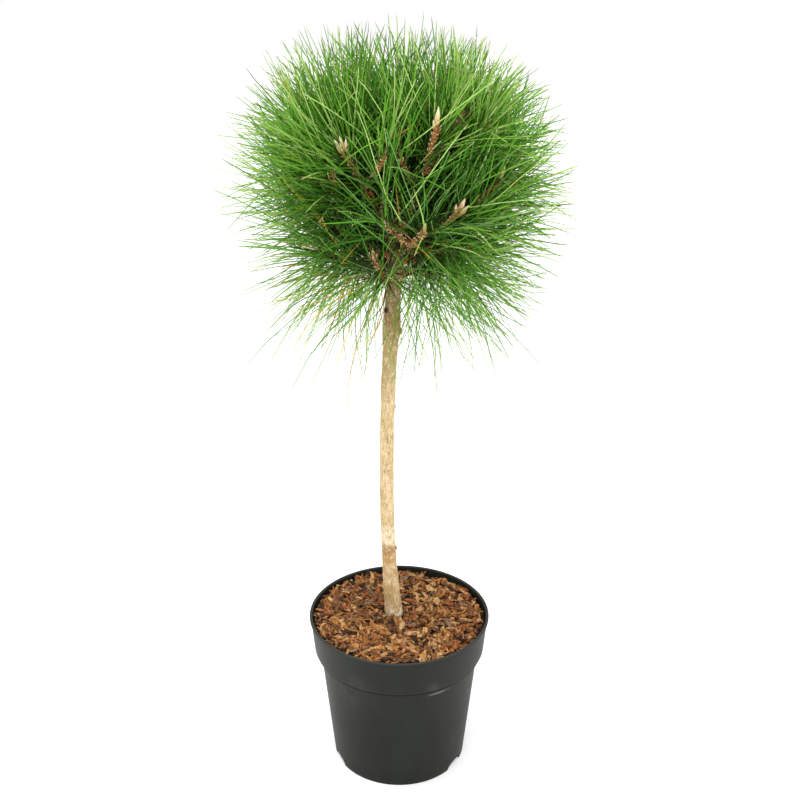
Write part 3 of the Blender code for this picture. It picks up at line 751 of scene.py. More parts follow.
def make_chips():
    """Loose chips in several browns, strewn in layers over the bed, with the few placed ones laid last."""
    chance = random.Random(CHIP_SEED)
    shapes = [chip_shape(chance) for _ in range(CHIP_SHAPES)]
    heaps = {name: Heap() for name in CHIP_TONES}

    def lay(place, length, bearing, tone, lean):
        turn = Matrix.Rotation(bearing, 3, "Z")
        tilt = Matrix.Rotation(chance.gauss(0, lean), 3, "Y")
        tilt = tilt @ Matrix.Rotation(chance.gauss(0, lean), 3, "X")
        stretch = (length, length * chance.uniform(0.8, 1.2), length * chance.uniform(0.8, 1.3))
        points, faces = shapes[chance.randrange(CHIP_SHAPES)]
        form = np.array(turn @ tilt @ Matrix.Diagonal(stretch))
        heaps[tone].add(points @ form.T + np.array(place), faces)

    edge = BAND_TOP_RADIUS - POT_WALL - 0.001
    for index in range(CHIP_COUNT):
        length = CHIP_LENGTHS[0] + (CHIP_LENGTHS[1] - CHIP_LENGTHS[0]) * chance.random() ** 2.0
        radius = (edge - length * 0.42) * sqrt(chance.random())
        angle = chance.uniform(0, tau)
        place = Vector((cos(angle) * radius, sin(angle) * radius, 0))
        layer = index / CHIP_COUNT
        if (place.xy - STEM_FOOT.xy).length < STEM_FOOT_RADIUS + 0.0022 + length * 0.36:
            continue
        if (place.xy - HOLLOW).length < HOLLOW_REACH and layer > 0.1:
            continue
        place.z = mulch_height(place.x, place.y) - CHIP_SINK + layer * CHIP_DEPTH
        bearing = chance.uniform(0, tau)
        lay(place, length, bearing, by_luck(chance, CHIP_TONES), CHIP_LEANS[0])
    for x, y, length, bearing, tone in PLACED_CHIPS:
        place = (x, y, mulch_height(x, y) + CHIP_DEPTH)
        lay(place, length, radians(bearing), tone, CHIP_LEANS[1])
    for name, heap in heaps.items():
        finish = grained(name, *CHIP_TONES[name][:3], 480, (1, 0.35, 1), 0.85, 0.0007)
        heap.made(name, [finish], "bark_chips", ["bark_mulch"], smooth_shaded=False)


def stem_centre(share):
    """A point on the stem's middle line, from its foot at 0 to its head at 1."""
    bow = sin(pi * share**STEM_BOW_SKEW) * STEM_BOW
    return STEM_FOOT.lerp(STEM_HEAD, share) + Vector((-bow, 0, 0))


def stem_share(height):
    return (height - STEM_FOOT.z) / STEM_HEIGHT


def stem_radius(share):
    """Slimmest a third of the way up, flared at the root and swollen where it was grafted."""
    if share < STEM_WAIST:
        radius = STEM_FOOT_RADIUS + (STEM_WAIST_RADIUS - STEM_FOOT_RADIUS) * share / STEM_WAIST
    else:
        above = (share - STEM_WAIST) / (1 - STEM_WAIST)
        radius = STEM_WAIST_RADIUS + (STEM_HEAD_RADIUS - STEM_WAIST_RADIUS) * above
    height = share * STEM_HEIGHT
    flare = ROOT_FLARE * exp(-height / ROOT_FLARE_HEIGHT)
    from_graft = (height + STEM_FOOT.z - GRAFT_HEIGHT) / GRAFT_LENGTH
    return radius + flare + GRAFT_SWELLING * exp(-from_graft * from_graft)


def heading(bearing, rise):
    """Unit vector at a compass bearing from +X and a rise above level, in degrees."""
    across, up = radians(bearing), radians(rise)
    return Vector((cos(across) * cos(up), sin(across) * cos(up), sin(up)))


def bark_relief(point, out):
    """How far the bark stands out at a point of the stem: lumps, long ridges and fine cracks."""
    lumps = lump(point.x * 90, point.y * 90, point.z * 34) * 0.00045
    ridges = lump(out.x * 5.5, out.y * 5.5, point.z * 26) * 0.00030
    cracks = abs(lump(out.x * 13, out.y * 13, point.z * 55 + 7)) * 0.00022
    rings = lump(out.x * 0.8, out.y * 0.8, point.z * 210) * 0.00012
    return lumps + ridges - cracks + rings


def make_stem():
    """The bare stem: one ring of faces repeated up its height, bent to its line and given its bark."""
    step = STEM_HEIGHT / STEM_RINGS
    bpy.ops.mesh.primitive_cylinder_add(
        vertices=STEM_SIDES, radius=1, depth=step, end_fill_type="NOTHING", location=(0, 0, step / 2)
    )
    stem = named("barked_stem", bark_finish(), "trunk_bark", "trunk")
    place_in_mesh(stem)
    offset = {"use_constant_offset": True, "constant_offset_displace": (0, 0, step)}
    merge = {"use_merge_vertices": True, "merge_threshold": step * 0.1}
    modified(stem, "ARRAY", count=STEM_RINGS, use_relative_offset=False, **offset, **merge)
    open_edit("DESELECT")
    bpy.ops.mesh.select_non_manifold()
    bpy.ops.mesh.fill_holes(sides=STEM_SIDES)
    close_edit()
    knots = []
    for height, bearing, *row in KNOTS:
        share, way = stem_share(height), heading(bearing, 14)
        knots.append((stem_centre(share) + way * stem_radius(share), way, *row))
    points, darkness = points_of(stem), []
    for point in points:
        out = Vector((point[0], point[1], 0))
        share = min(1.0, max(0.0, point[2] / STEM_HEIGHT))
        bare = stem_centre(share) + out * stem_radius(share)
        place = bare + out * bark_relief(bare, out)
        darkness.append(0.0)
        for middle, way, radius, stands_out, dark in knots:
            away = (bare - middle).length / radius
            if away < 2.5:
                swell = 1 / (1 + away**5)
                place += way * stands_out * swell
                darkness[-1] = max(darkness[-1], min(1.0, 1.25 * swell) * dark)
        point[:] = place
    set_points(stem, points)
    mask = stem.data.attributes.new("knot", "FLOAT", "POINT")
    mask.data.foreach_set("value", np.array(darkness, np.float32))
    smooth(stem, 60)


def bough_path(bough):
    """A curve from inside the stem to the bud: it leaves at the whorl's angle and turns upwards."""
    share = stem_share(bough.whorl.height + bough.lift)
    start = stem_centre(share) + heading(bough.bearing, 0) * stem_radius(share) * BOUGH_ROOT
    bud = CROWN_HEART + heading(bough.bearing, bough.rise) * bough.reach
    bend = heading(bough.bearing, bough.whorl.foot_angle) * (bud - start).length * BOUGH_BEND
    return start, start + bend, bud


def along(path, share):
    """The point at a share of the way along a three-point curve."""
    start, bend, end = path
    return start.lerp(bend, share).lerp(bend.lerp(end, share), share)


def axis_at(path, share):
    return (along(path, share + 0.02) - along(path, share - 0.02)).normalized()


def in_crown(points):
    """Below 1 inside the crown's outline, and above 1 outside it."""
    away = (points - np.array(CROWN_CENTRE)) / np.array(CROWN_RADII)
    away[..., 0] -= away[..., 2] * CROWN_LEAN / CROWN_RADII.x
    narrowing = 1 + CROWN_TAPER * np.maximum(0.0, -away[..., 2:])
    away = np.concatenate([away[..., :2] * narrowing, away[..., 2:]], axis=-1)
    return (np.abs(away) ** CROWN_SQUARENESS).sum(axis=-1)


# A shoot is a bough or a twig: its path, where its needles start, the angles that they stand off it
# at its foot and its bud, its thickness beside a bough's, how thickly they grow, and how they curl
Shoot = namedtuple("Shoot", "name path bare spreads thickness thickly curl")
# How much longer the needles hang, how far they droop, and how much their angles vary
HANGS = {"low": (1.26, 0.15, 20), "curly": (1.12, 0.20, 18), "": (1.0, 0.035, 10)}
CURLY = ("middle_front", "low_front", "low_right")
CURL = 2.8
DEAD_SHARES = {"low_front": 0.16, "top_front_left": 0.05, "low_left": 0.06}
LEADER_BUD = Vector((0.000, 0.010, 0.700))
# The twigs that the photograph places: the bough and the share of it where each one starts, its bearing,
# rise and length, and its needles' curl
PLACED_TWIGS = (
    ("front_right_twig", "middle_front", 0.40, -42, 36, 0.072, CURL),
    ("upper_left_twig", "top_left", 0.50, 176, 38, 0.076, 1.0),
    ("upper_right_twig", "top_right", 0.50, -8, 40, 0.050, 1.0),
)
LEADER_BARE = 0.30
PLACED_TWIG = (0.25, (62, 32), 0.8, 1.0)  # bare, spreads, thickness and thickly, as in Shoot
TWIG_BARE = 0.18
TWIG_THICKNESS = 0.72
TWIG_THICKLY = 0.9  # at most
TWIG_SPREAD = 40
TWIG_LIFT = 0.10
TWIG_CLEAR = 0.012
STEM_CLEAR = 0.020
TWIG_LIMIT = 0.42  # how far out in the crown a twig may end
TWIG_TRIES = 6


def leaning(axis, side, degrees):
    """A unit vector that leans off the axis to one side."""
    return axis * cos(radians(degrees)) + side * sin(radians(degrees))


def square_to(axis, turn):
    """A unit vector square to the axis, turned about it by an angle."""
    side = axis.orthogonal().normalized()
    side.rotate(Matrix.Rotation(turn, 3, axis))
    return side


def bough_shoots():
    """The boughs, the leader that carries on from the stem, and the twigs that the photograph places."""
    shoots = {}
    for name, bough in BOUGHS.items():
        curl = CURL if name in CURLY else 1.0
        form = (BOUGH_BARE, bough.whorl.spreads, 1.0, bough.whorl.thickly, curl)
        shoots[name] = Shoot(name, bough_path(bough), *form)
    foot = STEM_HEAD - UP * 0.006
    leader = (foot, foot.lerp(LEADER_BUD, 0.5) + Vector((0.004, 0, 0)), LEADER_BUD)
    shoots["leader"] = Shoot("leader", leader, LEADER_BARE, WHORLS["top"].spreads, 1.0, 0.9, 1.0)
    for name, bough, share, bearing, rise, length, curl in PLACED_TWIGS:
        start = along(shoots[bough].path, share)
        end = start + heading(bearing, rise) * length
        path = (start, start.lerp(end, 0.5) - UP * 0.004, end)
        shoots[name] = Shoot(name, path, *PLACED_TWIG, curl)
    return shoots


def side_twigs(shoots, chance):
    """Side twigs that fork off the boughs, left and right by turns, where there is room for them."""
    made = []
    for name, bough in BOUGHS.items():
        shoot = shoots[name]
        side = chance.choice((-1, 1))
        for start_share in bough.whorl.twig_starts:
            start = along(shoot.path, start_share)
            axis = axis_at(shoot.path, start_share)
            level = axis.cross(UP).normalized()
            for _ in range(TWIG_TRIES):
                way = leaning(axis, level * side, TWIG_SPREAD + chance.uniform(-8, 8))
                way.rotate(Matrix.Rotation(chance.uniform(-0.6, 0.6), 3, axis))
                length = bough.whorl.twig_length * chance.uniform(0.85, 1.15)
                end = start + way * length + UP * length * TWIG_LIFT
                path = (start, start + way * length * 0.5, end)
                side = -side
                others = [*shoots.values(), *made]
                if in_crown(np.array(end)) <= TWIG_LIMIT and clear_of(path, shoot, others):
                    thickly = min(TWIG_THICKLY, shoot.thickly)
                    form = (TWIG_BARE, shoot.spreads, TWIG_THICKNESS, thickly, shoot.curl)
                    made.append(Shoot("twig", path, *form))
                    break
    return made


def clear_of(path, parent, others):
    """True where a twig keeps its distance from every other shoot and from the stem."""
    for share in (0.5, 0.75, 1.0):
        point = along(path, share)
        if (point.xy - STEM_HEAD.xy).length < STEM_CLEAR and point.z < STEM_HEAD.z:
            return False
        for other in others:
            room = TWIG_CLEAR * (share if other is parent else 1.0)
            if min((along(other.path, s / 8) - point).length for s in range(9)) < room:
                return False
    return True


def shoot_radius(shoot, share):
    collar = BOUGH_COLLAR * exp(-share / BOUGH_COLLAR_SHARE)
    return (BOUGH_FOOT_RADIUS + (BOUGH_TIP_RADIUS - BOUGH_FOOT_RADIUS) * share + collar) * shoot.thickness


def tube(points, radii, sides):
    """Points and triangles of a closed tube along a line of points."""
    count = len(points)
    rings, reference = [], None
    for index, (point, radius) in enumerate(zip(points, radii)):
        axis = (points[min(index + 1, count - 1)] - points[max(index - 1, 0)]).normalized()
        reference = axis.orthogonal() if reference is None else reference - axis * reference.dot(axis)
        reference.normalize()
        other = axis.cross(reference)
        for turn in range(sides):
            angle = tau * turn / sides
            rings.append(point + (reference * cos(angle) + other * sin(angle)) * radius)
    faces = []
    for ring in range(count - 1):
        for turn in range(sides):
            a, b = ring * sides + turn, ring * sides + (turn + 1) % sides
            faces += [(a, b, b + sides), (a, b + sides, a + sides)]
    rings += [points[0], points[-1]]
    foot, head = len(rings) - 2, len(rings) - 1
    last = (count - 1) * sides
    for turn in range(sides):
        after = (turn + 1) % sides
        faces += [(foot, after, turn), (head, last + turn, last + after)]
    return rings, faces


def make_shoots(shoots):
    """The woody part of boughs and twigs, lumpy with the cushions that the needles stood on."""
    heap = Heap()
    for number, shoot in enumerate(shoots):
        shares = [ring / (SHOOT_RINGS - 1) for ring in range(SHOOT_RINGS)]
        radii = []
        for index, share in enumerate(shares):
            swell = 0.92 + lump(share * 40, number * 3.7, 0.3) * 0.16 + 0.10 * (index % 2)
            radii.append(shoot_radius(shoot, share) * swell)
        heap.add(*tube([along(shoot.path, share) for share in shares], radii, SHOOT_SIDES))
    finish = grained("shoot_bark", (120, 74, 42), (192, 120, 68), (228, 164, 100), 900, (1, 1, 0.5))
    heap.made("shoots", [finish], "young_bark", BOUGH_NODES)


# Dry scale leaves along the shoots, as colour and share
SCALE_TONES = {
    "scales_brown": ((200, 146, 92), 0.24),
    "scales_orange": ((250, 198, 126), 0.34),
    "scales_pale": ((254, 238, 206), 0.42),
}
SCALES_PER_METRE = 1250
SCALE_LENGTHS = (0.0020, 0.0036)
SCALE_WIDTHS = (0.0010, 0.0017)  # half of each
SCALE_THICKNESS = 0.0016
SCALE_LEANS = (22, 64)


def make_scales(shoots, chance):
    """Small pointed dry scales that stand off the shoots in a spiral."""
    heaps = {name: Heap() for name in SCALE_TONES}
    faces = [(0, 2, 1), (0, 1, 3), (1, 2, 3), (2, 0, 3)]
    for shoot in shoots:
        count = (shoot.path[2] - shoot.path[0]).length * SCALES_PER_METRE
        for index in range(int(count)):
            share = 0.08 + 0.92 * index / count
            axis = axis_at(shoot.path, share)
            side = square_to(axis, index * GOLDEN_TURN)
            root = along(shoot.path, share) + side * shoot_radius(shoot, share) * 0.85
            way = leaning(axis, side, chance.uniform(*SCALE_LEANS))
            long = chance.uniform(*SCALE_LENGTHS) * shoot.thickness
            half = axis.cross(side) * chance.uniform(*SCALE_WIDTHS)
            points = [root - half, root + half, root + side * SCALE_THICKNESS, root + way * long]
            heaps[by_luck(chance, SCALE_TONES)].add(points, faces)
    for name, heap in heaps.items():
        heap.made(name, [Finish(name, SCALE_TONES[name][0], 0.7).material], "young_bark", BOUGH_NODES)


# Buds at a shoot's end: how many, the middle one's length, the others' beside it, how stout they are,
# and which colour
BUDS = {
    "top_front_left": (5, 0.0165, (0.70, 0.95), 0.78, "cream"),
    "top_front_right": (4, 0.0200, (0.40, 0.60), 0.80, "cream"),
    "front_right_twig": (4, 0.0160, (0.70, 0.95), 0.95, "pink"),
    "middle_front": (3, 0.012, (0.6, 0.8), 1.10, "dry"),
    "middle_right": (3, 0.012, (0.6, 0.8), 0.90, "cream"),
    "low_front": (5, 0.011, (0.6, 0.9), 1.20, "dry"),
    "top_left": (2, 0.013, (0.6, 0.8), 0.90, "dry"),
    "top_right": (2, 0.012, (0.5, 0.7), 0.90, "cream"),
}
BUD_TONES = {
    "cream": ((158, 100, 56), (238, 198, 138), (255, 240, 200)),
    "pink": ((140, 78, 50), (216, 160, 116), (250, 220, 184)),
    "dry": ((96, 62, 38), (164, 126, 80), (216, 184, 132)),
    "dull": ((70, 58, 32), (110, 98, 52), (154, 132, 80)),
}
BUD_SPREAD = 15
BUD_GIRTH = 0.155


def bud_shape():
    """One resting bud, a unit long: a pointed egg of overlapping scales."""
    bpy.ops.mesh.primitive_uv_sphere_add(segments=12, ring_count=16, radius=0.5)
    points, faces = taken(bpy.context.active_object)
    for point in points:
        share = point[2] + 0.5
        angle = atan2(point[1], point[0])
        girth = hypot(point[0], point[1])
        wide = BUD_GIRTH * sin(pi * min(1.0, share) ** 0.62) ** 0.8 if 0 < share < 1 else 0.0
        scale = 1 + 0.24 * (((angle / tau * 5 + share * 9) % 1) - 0.5)
        if girth > 1e-6:
            point[0] *= wide * scale / girth
            point[1] *= wide * scale / girth
        point[2] = share
    return points, faces


def bud_finish(tone):
    """A bud's scales: brown at its foot and pale at its point, flecked by a fine grain."""
    dark, middle, pale = BUD_TONES[tone]
    finish = Finish("bud_scales_" + tone, middle, 0.65)
    flake = finish.grain(640, 3, 0.6, (1, 1, 0.6))
    up_bud = finish.attribute("mark") + (flake - 0.5) * 0.7
    return finish.wear(finish.ramp(up_bud, (0.10, dark), (0.42, middle), (0.72, pale)), flake, 0.5, 0.0005)


def make_buds(shoots, chance):
    """A cluster of resting buds at each shoot's end, the middle one longest."""
    shape, faces = bud_shape()
    heaps = {tone: Heap() for tone in BUD_TONES}
    for shoot in shoots:
        usual = (chance.choice((1, 2, 3)), chance.uniform(0.006, 0.010), (0.5, 0.8), 0.95, "dull")
        count, first_length, others, stout, tone = BUDS.get(shoot.name, usual)
        axis = (axis_at(shoot.path, 0.98) + UP * 0.8).normalized()
        for number in range(count):
            way, place, length = axis.copy(), along(shoot.path, LAST_SHARE), first_length
            if number:
                side = square_to(axis, number * tau / (count - 1) + 0.7)
                way = leaning(axis, side, BUD_SPREAD + chance.uniform(-5, 8))
                place += side * chance.uniform(0.0014, 0.0024) - axis * chance.uniform(0.0, 0.0025)
                length *= chance.uniform(*others)
            form = np.array(way.to_track_quat("Z", "Y").to_matrix()) @ np.diag((stout, stout, 1))
            heaps[tone].add(shape @ (form * length).T + np.array(place), faces, 0, shape[:, 2])
    for tone, heap in heaps.items():
        heap.made("buds_" + tone, [bud_finish(tone)], "young_bark", NEEDLE_NODES)


# What the photograph sees between the needles: a stretch of a shoot, the room round it, and the share
# of the needles that still pass in front of it
SIGHTS = (
    ("top_front_left", 0.55, 1.00, 0.0046, 0.25),
    ("top_front_left", 1.00, 1.16, 0.0120, 0.08),
    ("top_front_right", 0.66, 1.00, 0.0042, 0.22),
    ("top_front_right", 1.00, 1.14, 0.0100, 0.08),
    ("front_right_twig", 0.92, 1.18, 0.0085, 0.12),
    ("middle_right", 0.82, 1.10, 0.0060, 0.25),
    ("low_front", 0.82, 1.20, 0.0070, 0.30),
    ("top_right", 0.88, 1.10, 0.0060, 0.25),
    ("stem", 0.80, 0.96, 0.0100, 0.30),
    ("leader", 0.10, 0.80, 0.0300, 0.50),
)


def unit(vectors):
    return vectors / np.linalg.norm(vectors, axis=-1, keepdims=True)


def bezier(lines, shares):
    """A point on each curve of an array of them, given by its control points, at its own share."""
    shares = np.asarray(shares, float)[:, None, None]
    while lines.shape[1] > 1:
        lines = lines[:, :-1] * (1 - shares) + lines[:, 1:] * shares
    return lines[:, 0]


def beside(way, draw):
    """A random unit vector across each way."""
    across = draw.normal(size=way.shape)
    return unit(across - way * (across * way).sum(axis=-1, keepdims=True))


def grow_needles(shoot, longer, loose, draw):
    """The source's rule for sprays, carried to pairs of needles: they wind up the shoot, wide at its
    foot and close round its bud. Gives each pair's root, way, reach, place up the shoot and spray."""
    length = (shoot.path[2] - shoot.path[0]).length * (1 - shoot.bare)
    count = int(length * PAIRS_PER_METRE * shoot.thickly)
    number = np.arange(count)
    place = ((number + draw.random(count)) / count) ** 0.85
    shares = shoot.bare + (LAST_SHARE - shoot.bare) * place
    path = np.repeat(np.array([[tuple(point) for point in shoot.path]]), count, axis=0)
    axis = unit(bezier(path, shares + 0.02) - bezier(path, shares - 0.02))
    side = unit(np.cross(axis, (0.31, 0.43, -0.85)))
    turn = (number * GOLDEN_TURN + draw.uniform(-0.3, 0.3, count))[:, None]
    side = side * np.cos(turn) + np.cross(axis, side) * np.sin(turn)
    spread = shoot.spreads[0] + (shoot.spreads[1] - shoot.spreads[0]) * place
    spread = np.radians(spread + draw.normal(0, loose, count))[:, None]
    way = unit(axis * np.cos(spread) + side * np.sin(spread))
    radii = np.array([shoot_radius(shoot, share) for share in shares])[:, None]
    root = bezier(path, shares) + side * radii * 0.8
    reach = NEEDLE_LENGTH * longer * np.clip(draw.normal(1.0, 0.12, count), 0.6, 1.25)
    return root, way, reach, place, number // SPRAY_PAIRS


def needle_lines(root, way, reach, curl, droop, draw):
    """Both needles of each pair as four-point lines, each with its own arc and a slight wave."""
    apart = np.radians(draw.uniform(*PAIR_ANGLES, len(root)))[:, None]
    split = beside(way, draw)
    long = reach[:, None]
    lines = []
    for hand in (-1, 1):
        own = unit(way * np.cos(apart) + split * np.sin(apart) * hand)
        arc = draw.normal(0, NEEDLE_ARC, (len(root), 1)) * curl
        arc[draw.random(len(root)) < 0.18] *= 2.0
        across = beside(own, draw)
        wave = beside(own, draw) * draw.normal(0, NEEDLE_WAVE, (len(root), 1)) * curl
        level = 1 - np.abs(own[:, 2:])
        sag = np.array((0, 0, -1)) * draw.normal(droop, 0.02 + droop / 3, (len(root), 1)) * level
        lines.append(np.stack([
            root,
            root + (own / 3 + wave) * long,
            root + (own * 2 / 3 + across * arc / 3 - wave) * long,
            root + (own + across * arc + sag) * long,
        ], axis=1))
    return np.concatenate(lines)


def keep_sights_open(lines, shoots, draw):
    """False for most needles that pass in front of what the photograph sees bare."""
    samples = np.stack([bezier(lines, np.full(len(lines), s)) for s in np.linspace(0.06, 1, 14)], axis=1)
    spared = draw.random(len(lines))
    kept = np.ones(len(lines), bool)
    for name, first, last, room, left in SIGHTS:
        for share in np.linspace(first, last, 9):
            seen = stem_centre(share) if name == "stem" else along(shoots[name].path, share)
            ray = np.array((Vector(CAMERA_PLACE) - seen).normalized())
            away = samples - np.array(seen)
            ahead = away @ ray
            aside = np.linalg.norm(away - ahead[..., None] * ray, axis=-1)
            crosses = ((ahead > 0.004) & (aside < room)).any(axis=1)
            kept &= ~crosses | (spared < left)
    return kept


def needle_tones(lines, place, spray, curl, dead, draw):
    """Painted light and shade, as lit and shaded copies of one green: yellow-green at the top and outside,
    deep inside and below, lighter at the sides and where the floor lights them from underneath, with
    painted glints near the top and a few dead ones at the foot.
    The sprays of a shoot differ, and the needles of a spray differ a little."""
    tip = lines[:, -1] - np.array(CROWN_CENTRE)
    height = tip[:, 2] / CROWN_RADII.z
    out = np.linalg.norm(tip / np.array(CROWN_RADII), axis=1)
    aside = np.clip(np.hypot(tip[:, 0], np.maximum(0.0, tip[:, 1]) * 0.7) / CROWN_RADII.x - 0.35, 0, 1)
    # Painted light: the left side made lighter than the right
    aside *= np.clip(0.70 - height, 0, 1) * np.where(tip[:, 0] < 0, 1.25, 1.0)
    under = np.clip(-0.10 - height, 0, 0.6)
    by_spray = draw.normal(0, 0.12, spray.max() + 1)[spray]
    # Painted light and shade: each needle's tone comes from where its tip stands in the crown
    light = LIGHT_LEAST + LIGHT_HIGH * height + LIGHT_OUT * (out - 0.80) + LIGHT_BUD * place + by_spray
    light += LIGHT_ASIDE * aside + LIGHT_UNDER * under + draw.normal(0, 0.05, len(lines))
    tones = np.clip(((1.10 - light) * 6.5).astype(int), 0, LIVE_TONES - 1)
    luck = draw.random(len(lines))

    def deal(name, lucky):
        tones[lucky] = list(NEEDLE_TONES).index(name)

    # Painted light: some outer needles at the sides in the palest tone
    deal("needles_pale", (luck < 0.12) & (aside > 0.25) & (out > 0.80))
    tones[(luck > 0.72) & (height < -0.25) & (tones < 2)] += 2
    deal("needles_bluish", (luck < 0.34) & (curl > 1.5))
    # Painted highlights: glinting needles, more of them near the top
    glint = 0.02 + 0.22 * np.maximum(0.0, height - 0.4)
    deal("needles_glint", (draw.random(len(lines)) < glint) & (out > 0.70))
    luck = draw.random(len(lines))
    deal("needles_straw", (luck < dead) & (place < 0.6))
    deal("needles_rust", (luck > 1 - dead * 0.6) & (place < 0.5))
    return tones


def make_needles(shoots, twigs, draw):
    """All needles as curved tapering three-sided blades, joined colour by colour."""
    found = []
    for shoot in [*shoots.values(), *twigs]:
        kind = "curly" if shoot.curl > 1.5 else "low" if shoot.name.startswith("low") else ""
        longer, droop, loose = HANGS[kind]
        root, way, reach, place, spray = grow_needles(shoot, longer, loose, draw)
        lines = needle_lines(root, way, reach, shoot.curl, droop, draw)
        dead = DEAD_SHARES.get(shoot.name, 0.004)
        tones = needle_tones(lines, np.tile(place, 2), np.tile(spray, 2), shoot.curl, dead, draw)
        found.append((lines, tones, np.arange(len(lines)) < len(root)))
    found = [np.concatenate(parts) for parts in zip(*found)]
    kept = keep_sights_open(found[0], shoots, draw)
    found = [part[kept] for part in found]
    found.append(trimmed(found[0], draw))
    lines, tones, first_of_pair, shares = [part[found[3] > SHORTEST_SHARE] for part in found]
    for index, name in enumerate(NEEDLE_TONES):
        own = np.flatnonzero(tones == index)
        materials = needle_finishes(name)
        for part, start in enumerate(range(0, len(own), NEEDLES_IN_PIECE)):
            some = own[start : start + NEEDLES_IN_PIECE]
            heap = Heap()
            low = lines[some, -1, 2] < CROWN_CENTRE.z - CROWN_RADII.z * 0.3
            girths = draw.uniform(0.80, 1.10, len(some)) * np.where(low, 0.86, 1.0)
            heap.add(*blades(lines[some], shares[some], girths[:, None], draw))
            heap.made(f"{name}_{part + 1}" if part else name, materials, "pine_needles", NEEDLE_NODES)
    make_sheaths(lines[first_of_pair], draw)


def make_sheaths(lines, draw):
    """The short sheath round each pair's foot: green on most, and dry on some."""
    heaps = [Heap() for _ in SHEATH_TONES]
    kinds = (draw.random(len(lines)) < SHEATH_TONES["sheaths_dry"][1]).astype(int)
    lengths = SHEATH_LENGTH * draw.uniform(0.8, 1.2, len(lines))
    ways = unit(lines[:, 1] - lines[:, 0])
    for foot, way, length, kind in zip(lines[:, 0], ways, lengths, kinds):
        foot, way = Vector(foot), Vector(way)
        heaps[kind].add(*tube([foot - way * 0.001, foot + way * length], SHEATH_RADII, 3))
    for heap, (name, (tone, _)) in zip(heaps, SHEATH_TONES.items()):
        heap.made(name, [Finish(name, tone, 0.7).material], "young_bark", NEEDLE_NODES)


def trimmed(lines, draw):
    """The share of each needle that stays within its own limit, near the crown's soft outline."""
    tips = lines[:, -1]
    height = np.minimum(1.0, np.abs(tips[:, 2] - CROWN_CENTRE.z) / CROWN_RADII.z)
    first = SOFT_EDGE[0] + SOFT_EDGE[1] * height
    bias = SOFT_EDGE_BIAS[0] - SOFT_EDGE_BIAS[1] * height
    limit = first + (SOFT_EDGE[2] - first) * draw.random(len(lines)) ** bias
    low = tips[:, 2] < CROWN_CENTRE.z - CROWN_RADII.z * 0.4
    low &= np.hypot(tips[:, 0], tips[:, 1]) < CROWN_RADII.x * 0.95
    beyond = np.where(low, STRAY_BELOW, STRAY_ABOVE) * draw.random(len(lines))
    strays = draw.random(len(lines)) < STRAY_SHARE * np.where(low, 3, 1)
    limit[strays] = SOFT_EDGE[2] + beyond[strays]
    shares = np.ones(len(lines))
    for step in np.linspace(1.0, 0.1, 16):
        outside = in_crown(bezier(lines, np.full(len(lines), step))) > limit**CROWN_SQUARENESS
        shares[outside] = step - 0.06
    return shares


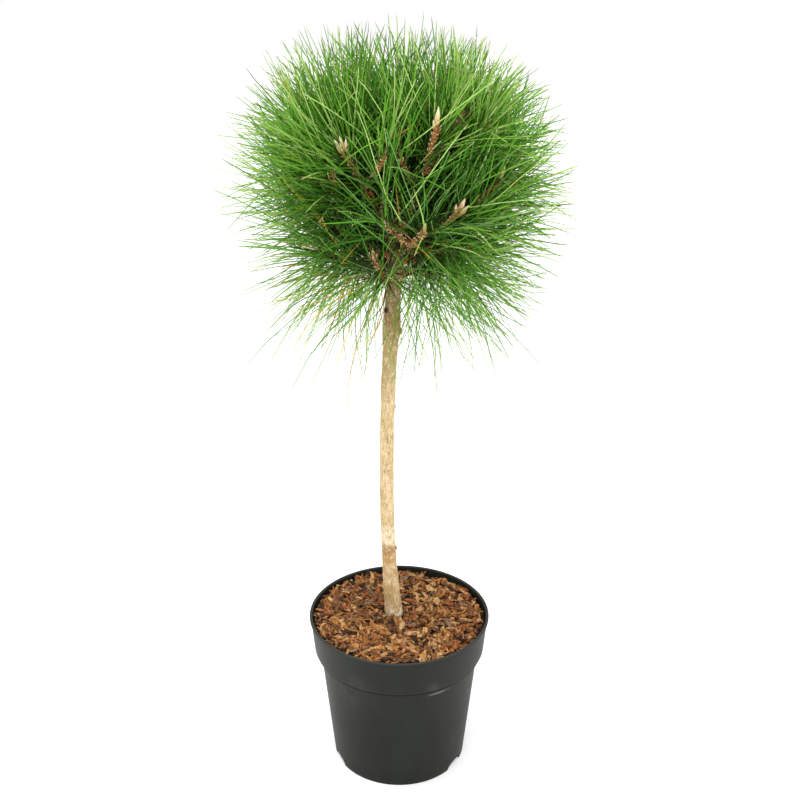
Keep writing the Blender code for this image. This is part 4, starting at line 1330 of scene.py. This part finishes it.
def blades(lines, shares, girths, draw):
    """Points, triangles and slots of a needle along each line."""
    count = len(lines)
    reference = draw.normal(size=(count, 3))
    rings = []
    for at, width in zip(RING_SHARES, RING_WIDTHS):
        here = bezier(lines, shares * at)
        ahead = unit(bezier(lines, shares * at + 0.02) - here)
        across = unit(np.cross(ahead, reference))
        back = np.cross(ahead, across)
        half, thick = NEEDLE_WIDTH / 2 * width * girths, NEEDLE_THICKNESS * width * girths
        rings += [here + across * half, here - across * half, here + back * thick]
    rings.append(bezier(lines, shares))
    points = np.stack(rings, axis=1)
    faces, slots = [(0, 1, 2)], [0]
    last_ring = len(RING_SHARES) - 1
    for ring in range(last_ring + 1):
        for a, b in ((0, 1), (1, 2), (2, 0)):
            first, second = ring * 3 + a, ring * 3 + b
            if ring < last_ring:
                faces += [(first, first + 3, second + 3), (first, second + 3, second)]
                slots += [min(ring, 1)] * 2
            else:
                faces.append((first, len(rings) - 1, second))
                slots.append(2)
    starts = np.arange(count)[:, None, None] * len(rings)
    return points.reshape(-1, 3), (np.array(faces)[None] + starts).reshape(-1, 3), np.tile(slots, count)


def make_stage():
    """A white floor in a white room, with soft lights above and in front and a small one at the side."""
    bpy.ops.mesh.primitive_plane_add(size=12, location=(0, 0, -0.0002))
    floor = bpy.context.active_object
    floor.name = "floor"
    finish = Finish("floor", (255, 255, 255), 0.9, specular=0.1)
    finish.inputs["Base Color"].default_value = (0.97, 0.97, 0.97, 1)
    finish.inputs["Emission Color"].default_value = (1, 1, 1, 1)
    finish.inputs["Emission Strength"].default_value = 0.26
    floor.data.materials.append(finish.material)
    floor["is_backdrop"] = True
    world = bpy.context.scene.world = bpy.data.worlds.new("studio")
    world.use_nodes = True
    world.node_tree.nodes["Background"].inputs["Color"].default_value = (1, 1, 1, 1)
    for name, place, energy, size in (
        ("top", (-0.3, -0.2, 2.3), 20, 0.6),
        ("front", (-0.5, -1.9, 1.5), 9, 1.0),
        ("side", (1.3, -0.7, 0.75), 3.5, 0.25),
    ):
        light = bpy.data.lights.new(name, "AREA")
        light.energy, light.size = energy, size
        towards = Vector((0, 0, 0.5)) - Vector(place)
        add_to_scene(name, light, place, towards.to_track_quat("-Z", "Y").to_euler())


def make_camera():
    camera = bpy.data.cameras.new("camera")
    camera.lens = CAMERA_LENS
    turn = (radians(CAMERA_TILT), 0, 0)
    bpy.context.scene.camera = add_to_scene("camera", camera, CAMERA_PLACE, turn)
    bpy.context.scene.view_settings.view_transform = "Standard"


def main():
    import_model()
    before = set(bpy.data.objects)
    make_camera()
    make_stage()
    make_pot()
    make_bed()
    make_chips()
    make_stem()
    chance = random.Random(NEEDLE_SEED)
    shoots = bough_shoots()
    twigs = side_twigs(shoots, chance)
    every_shoot = [*shoots.values(), *twigs]
    make_shoots(every_shoot)
    make_scales(every_shoot, chance)
    make_buds(every_shoot, chance)
    make_needles(shoots, twigs, np.random.default_rng(NEEDLE_SEED))
    for obj in set(bpy.data.objects) - before:
        if obj.type == "MESH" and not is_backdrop(obj):
            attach(obj, "root")


main()
